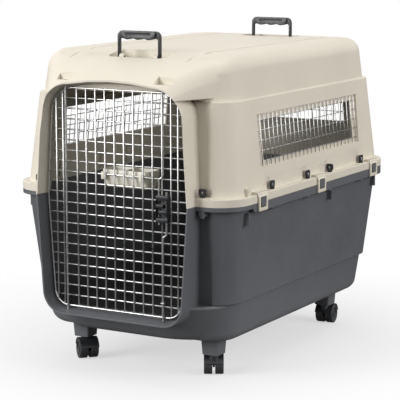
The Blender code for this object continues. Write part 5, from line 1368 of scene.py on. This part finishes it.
def handle_outline(rise):
    """U-shaped handle seen from the front, about its pivot line."""
    foot = -0.0045
    chamfer = 0.004
    inner = HANDLE_HALF - LEG[0]
    under = rise - GRIP[0] + chamfer
    outline = mirrored_polygon([(HANDLE_HALF, foot, 0), (HANDLE_HALF, rise, HANDLE_CORNER)], 12)
    return outline + mirrored([(-inner, foot), (-inner, under - chamfer), (-inner + chamfer, under)])


def grip_outline(rise, steps=60):
    """Grip seen from the front, with three finger ridges below."""
    points = []
    for i in range(steps + 1):
        x = -GRIP_HALF + 2 * GRIP_HALF * i / steps
        wave = 0.5 - 0.5 * math.cos(2 * math.pi * (x / FINGER_PITCH))
        points.append((x, rise - GRIP[0] + FINGER_DEPTH * wave))
    return points + [(GRIP_HALF + 0.004, rise - 0.004), (GRIP_HALF, rise - 0.0006),
                     (-GRIP_HALF, rise - 0.0006), (-GRIP_HALF - 0.004, rise - 0.004)]


def handles(crate):
    rise = HANDLE_TOP_Z - HANDLE_PIVOT_Z
    half_y = GRIP[1] / 2
    panel_half, panel_low, panel_high = 0.033, 0.0145, 0.0045
    for name, sign in (("front", -1), ("rear", 1)):
        y = sign * HANDLE_Y
        legs = filled(side_prism, 1, handle_outline(rise), 0.0, LEG[1] / 2)
        handle = crate.solid("handle_" + name, legs, "black", (0.0, y, HANDLE_PIVOT_Z), edge=0.0011)
        with crate.join(handle, "grip") as bm:
            add_prism(bm, grip_outline(rise), lambda u, v, w: (u, y + w, HANDLE_PIVOT_Z + v), -half_y, half_y)
        with crate.join(handle, "pins") as bm:
            inner = HANDLE_HALF - LEG[0]
            for side in SIDES:
                add_rod(bm, (side * (inner + LEG[0] / 2), y, HANDLE_PIVOT_Z),
                        (side * (inner - BOSS_WIDTH + 0.001), y, HANDLE_PIVOT_Z), HANDLE_PIN / 2, 24)
        with crate.cut(handle, "grip_panels") as bm:
            for side in SIDES:
                ys = sorted((y + side * (half_y - 0.0012), y + side * (half_y + PAST)))
                add_box(bm, (-panel_half, ys[0], HANDLE_TOP_Z - panel_low),
                        (panel_half, ys[1], HANDLE_TOP_Z - panel_high))


def bolt_mesh(top):
    """Hexagon head below its flange, and a threaded shank up to a height over the head."""
    width, thick = BOLT_HEAD
    bm = bmesh.new()
    head = [polar(width / math.sqrt(3), math.radians(60 * i)) for i in range(6)]
    add_prism(bm, head, flat, -thick, 0.0)
    bmesh.ops.bevel(bm, geom=[e for e in bm.edges if max(v.co.z for v in e.verts) < -thick + 0.0001],
                    offset=0.0008, segments=2, affect="EDGES", profile=0.5)
    steps = 36
    rings = []
    for i in range(steps + 1):
        radius = BOLT / 2 - 0.0003 * (i % 2) - (0.0008 if i == steps else 0.0)
        rings.append([(*polar(radius, math.radians(20 * k)), top * i / steps) for k in range(18)])
    add_loft(bm, rings)
    return bm


def nut_hub():
    radius, height = NUT_HUB[0] / 2, NUT_HUB[1]
    rows = ((0.0, radius - 0.0006), (0.0006, radius), (height - 0.001, radius - 0.0004),
            (height, radius - 0.0014))
    return filled(add_loft, [[(*polar(r, math.radians(15 * k)), z) for k in range(24)] for z, r in rows])


def bolts_and_nuts(crate):
    head_z = SPLIT_Z - BOLT_BLOCK[1] - CLEAR
    nut_z = ROOF_FLANGE_Z + PAD[1] + CLEAR
    shank = 0.014
    half = NUT_WING[0] / 2 - 0.0006
    wing = mirrored_polygon([(half * 0.62, 0.0015, 0.001), (half, 0.007, 0.003),
                             (half, NUT_HEIGHT, 0.004)], 6)
    for name, x, y, facing in bolt_places():
        crate.solid("bolt_" + name, bolt_mesh(nut_z + shank - head_z), "steel", (x, y, head_z))
        across = 0.0 if name in NUTS_ACROSS else 90.0
        turn = math.radians(facing + across)
        nut = crate.solid("wing_nut_" + name, nut_hub(), "black", (x, y, nut_z), turn, edge=0.0009)
        with crate.join(nut, "wings", local=True) as bm:
            side_prism(bm, 1, wing, 0.0, NUT_WING[1] / 2)
        with crate.cut(nut, "bore", local=True) as bm:
            add_rod(bm, (0.0, 0.0, -PAST), (0.0, 0.0, shank + 0.0005), BOLT_HOLE / 2 - 0.0003, 24)


def clips(crate):
    radius = CLIP_BARREL / 2
    inner = CLIP_AXIS_IN + CLEAR + 0.0004
    outer = inner + CLIP_THICK
    profile = [(outer, -CLIP_DROP), (outer, -0.006)]
    profile += [polar(radius, math.radians(-15 + 10 * i)) for i in range(25)]
    profile += [(inner, -math.sqrt(radius ** 2 - inner ** 2)), (inner, -CLIP_DROP)]
    half, top, bottom = CLIP_WINDOW
    for label, sign, turn in (("right", 1, 0.0), ("left", -1, math.pi)):
        for place, y in zip(("front", "middle", "rear"), CLIP_Y):
            pivot = (sign * (FLANGE_X - CLIP_AXIS_IN), y, CLIP_AXIS_Z)
            plate = filled(side_prism, 1, profile, 0.0, CLIP_HALF)
            clip = crate.solid(f"clip_{label}_{place}", plate, "beige", pivot, turn, edge=0.0008)
            with crate.cut(clip, "window", local=True) as bm:
                add_box(bm, (inner - 0.003, -half, -bottom), (outer + 0.003, half, -top))


def cup_rings(half_x, half_y, radius, rows, x, y):
    """Rings of a rounded tub from rows of height and draw, moved by x and y."""
    return [level(rounded_rectangle(half_x + draw, half_y + draw, radius, arc=8), z, x, y)
            for z, draw in rows]


def feeding_cup(crate):
    back = DOOR_SEAM + DOOR_WIRE + CLEAR + 0.0002
    x = (CUP_X[0] + CUP_X[1]) / 2
    y = (back + back + CUP_DEPTH) / 2
    half_x = (CUP_X[1] - CUP_X[0]) / 2
    half_y = CUP_DEPTH / 2
    low, high = CUP_Z
    brim_z = high - 0.017
    shell = cup_rings(half_x, half_y, 0.012, (
        (low, -CUP_TAPER - 0.003), (low + 0.001, -CUP_TAPER - 0.0009), (low + 0.003, -CUP_TAPER),
        (brim_z - 0.0002, -0.0015), (brim_z, -0.0004), (brim_z + 0.0006, 0.0), (high, 0.0)), x, y)
    cup = crate.solid("feeding_cup", filled(add_loft, shell), "cream", edge=0.0005)
    bowl = (half_x - 1.5 * CUP_WALL) / 2
    floor = low + CUP_WALL
    with crate.cut(cup, "bowls") as bm:
        for side in SIDES:
            add_loft(bm, cup_rings(bowl, half_y - CUP_WALL, 0.010, (
                (floor, -CUP_TAPER - 0.003), (floor + 0.003, -CUP_TAPER), (high + PAST, 0.0)),
                x + side * (bowl + CUP_WALL / 2), y))
    rail_z = DOOR_BOTTOM + DOOR_INSET + HOOK_ROW * DOOR_PITCH_Z
    under = rail_z + DOOR_WIRE / 2 + 0.0005
    over = under + HOOK_WALL + 0.001
    foot = under - HOOK_DROP
    front = DOOR_SEAM - CLEAR - HOOK_WALL
    profile = [(back + 0.001, under), (back + 0.001, over), (front, over), (front, foot),
               (front + HOOK_WALL, foot), (front + HOOK_WALL, under)]
    with crate.join(cup, "hooks") as bm:
        for hook_x in HOOK_X:
            add_prism(bm, profile, sideways, hook_x - HOOK_WIDTH / 2, hook_x + HOOK_WIDTH / 2)


def wheel():
    """Turned wheel: round tread with two fine grooves, raised rim, dished face and hub."""
    half = WHEEL_WIDTH / 2
    bore = AXLE_BORE / 2
    radius = WHEEL_RADIUS
    points = [(bore, half - 0.0012), (0.0062, half - 0.0012), (0.0068, half - 0.0042), (0.0165, half - 0.0042),
              (0.0180, half - 0.0008), (0.0190, half - 0.0001), (radius - 0.0034, half - 0.0001)]
    shoulder = 0.003
    for i in range(7):
        angle = math.pi / 2 * i / 6
        points.append((radius - shoulder + shoulder * math.sin(angle),
                       half - shoulder + shoulder * math.cos(angle)))
    for middle in (0.002, -0.004):
        points += [(radius, middle + 0.0007), (radius - 0.0005, middle + 0.0004),
                   (radius - 0.0005, middle - 0.0004), (radius, middle - 0.0007)]
    points += [(radius, -half + 0.0008), (radius - 0.0008, -half), (bore, -half)]
    bm = bmesh.new()
    steps = 64
    rows = []
    for k in range(steps):
        angle = 2 * math.pi * k / steps
        rows.append([bm.verts.new((*polar(r, angle), z)) for r, z in points])
    for near, far in zip(rows, rows[1:] + rows[:1]):
        add_band(bm, near, far)
    return bm


def casters(crate):
    z = WHEEL_RADIUS
    half = WEB / 2 + WHEEL_GAP + WHEEL_WIDTH
    room = WHEEL_RADIUS + 0.0012
    start = math.radians(12)
    hood = [polar(room + 0.0026, start + (math.pi - 2 * start) * i / 32, TRAIL, z) for i in range(33)]
    web = [(TRAIL + 0.018, z + 0.008), (TRAIL + 0.014, z + 0.018), (TRAIL - 0.018, z + 0.018),
           (TRAIL - 0.021, z + 0.008), (TRAIL - 0.006, z - 0.007), (TRAIL + 0.006, z - 0.007)]
    for name, sx, sy, yaw in CASTERS:
        place = (sx * CASTER_X, sy * CASTER_Y, 0.0)
        turn = math.radians(yaw)
        plates = filled(side_prism, 1, hood, 0.0, half)
        made = crate.solid("caster_frame_" + name, plates, "black", place, turn, edge=0.0007)
        with crate.join(made, "hub", local=True) as bm:
            add_rod(bm, (0.0, 0.0, HUB_FOOT_Z), (0.0, 0.0, BOSS_FOOT_Z - CLEAR), SWIVEL_RADIUS, 32)
        with crate.cut(made, "wells", local=True) as bm:
            for side in SIDES:
                add_rod(bm, (TRAIL, side * WEB / 2, z), (TRAIL, side * 0.04, z), room, 64)
        with crate.join(made, "web", local=True) as bm:
            side_prism(bm, 1, web, 0.0, WEB / 2 - 0.0002)
        with crate.join(made, "axle", local=True) as bm:
            add_rod(bm, (TRAIL, -half + 0.001, z), (TRAIL, half - 0.001, z), AXLE / 2, 24)
        swivel = Matrix.Rotation(turn, 4, "Z")
        for side, label in ((-1, "a"), (1, "b")):
            hub = Vector((TRAIL, side * (WEB / 2 + WHEEL_GAP + WHEEL_WIDTH / 2), z))
            spin = swivel @ Matrix.Rotation(math.radians(-90 * side), 4, "X")
            crate.solid(f"wheel_{name}_{label}", wheel(), "tyre", Matrix.Translation(place) @ swivel @ hub,
                        spin.to_euler())


def new_tree(holder):
    holder.use_nodes = True
    holder.node_tree.nodes.clear()
    return holder.node_tree


def white_surround():
    """World that looks plain white to the camera and in reflections, and lights the scene softly."""
    world = bpy.data.worlds.new("studio")
    bpy.context.scene.world = world
    tree = new_tree(world)
    rays = add_node(tree, "LightPath", {}).outputs
    bent = add_node(tree, "Math", {0: rays["Is Glossy Ray"], 1: rays["Is Transmission Ray"]},
                    operation="MAXIMUM")
    seen = add_node(tree, "Math", {0: rays["Is Camera Ray"], 1: bent.outputs["Value"]}, operation="MAXIMUM")
    ambient = add_node(tree, "Background", {"Color": WHITE, "Strength": AMBIENT})
    plain = add_node(tree, "Background", {"Color": WHITE, "Strength": 1.0})
    mixed = add_node(tree, "MixShader", {"Fac": seen.outputs["Value"], 1: ambient.outputs["Background"],
                                         2: plain.outputs["Background"]})
    add_node(tree, "OutputWorld", {"Surface": mixed.outputs["Shader"]})


def pale_floor():
    """Large round floor that takes shadows near the crate and fades to white away from it."""
    bm = bmesh.new()
    bmesh.ops.create_circle(bm, cap_ends=True, segments=96, radius=FLOOR_RADIUS)
    mesh = bpy.data.meshes.new("floor")
    bm.to_mesh(mesh)
    bm.free()
    floor = stand("floor", mesh)
    floor.location = (0.0, 0.0, FLOOR_LEVEL)
    made = bpy.data.materials.new("floor")
    tree = new_tree(made)
    place = add_node(tree, "TexCoord", {}).outputs["Object"]
    away = add_node(tree, "VectorMath", {0: place}, operation="LENGTH").outputs["Value"]
    start, stop, least = FLOOR_FADE
    fade = add_node(tree, "MapRange", {"Value": away, "From Min": start, "From Max": stop, "To Min": least},
                    interpolation_type="SMOOTHSTEP").outputs["Result"]
    shade = (FLOOR_SHADE, FLOOR_SHADE, FLOOR_SHADE, 1.0)
    paint = add_node(tree, "BsdfDiffuse", {"Color": shade}).outputs["BSDF"]
    camera_ray = add_node(tree, "LightPath", {}).outputs["Is Camera Ray"]
    lift = add_node(tree, "Emission", {"Color": WHITE, "Strength": camera_ray}).outputs["Emission"]
    mixed = add_node(tree, "MixShader", {"Fac": fade, 1: paint, 2: lift}).outputs["Shader"]
    add_node(tree, "OutputMaterial", {"Surface": mixed})
    mesh.materials.append(made)


def studio():
    """Plain pale floor, a white surround, three soft lamps and the camera at the photograph's angle."""
    white_surround()
    pale_floor()
    for name, spot, size, power in LAMPS:
        lamp = bpy.data.lights.new(name, "AREA")
        lamp.shape = "SQUARE"
        lamp.size = size
        lamp.energy = power
        holder = stand(name, lamp)
        holder.location = spot
        holder.rotation_euler = (LAMP_AIM - Vector(spot)).to_track_quat("-Z", "Y").to_euler()

    azimuth = math.radians(CAMERA_AZIMUTH)
    elevation = math.radians(CAMERA_ELEVATION)
    back = Vector((math.sin(azimuth) * math.cos(elevation), -math.cos(azimuth) * math.cos(elevation),
                   math.sin(elevation)))
    lens = bpy.data.cameras.new("camera")
    lens.sensor_width = CAMERA_SENSOR
    lens.lens = CAMERA_LENS
    lens.clip_end = 200.0
    camera = stand("camera", lens)
    camera.location = CAMERA_SPOT
    camera.rotation_euler = back.to_track_quat("Z", "Y").to_euler()
    bpy.context.scene.camera = camera
    bpy.context.scene.view_settings.view_transform = "Standard"


crate = Crate()
for make in (base_tub, roof_shell, door_grille, window_grilles, door_rods, latch_case, rod_guide, feeding_cup,
             handles, clips, bolts_and_nuts, casters):
    make(crate)
crate.bake()
studio()
bpy.context.view_layer.update()
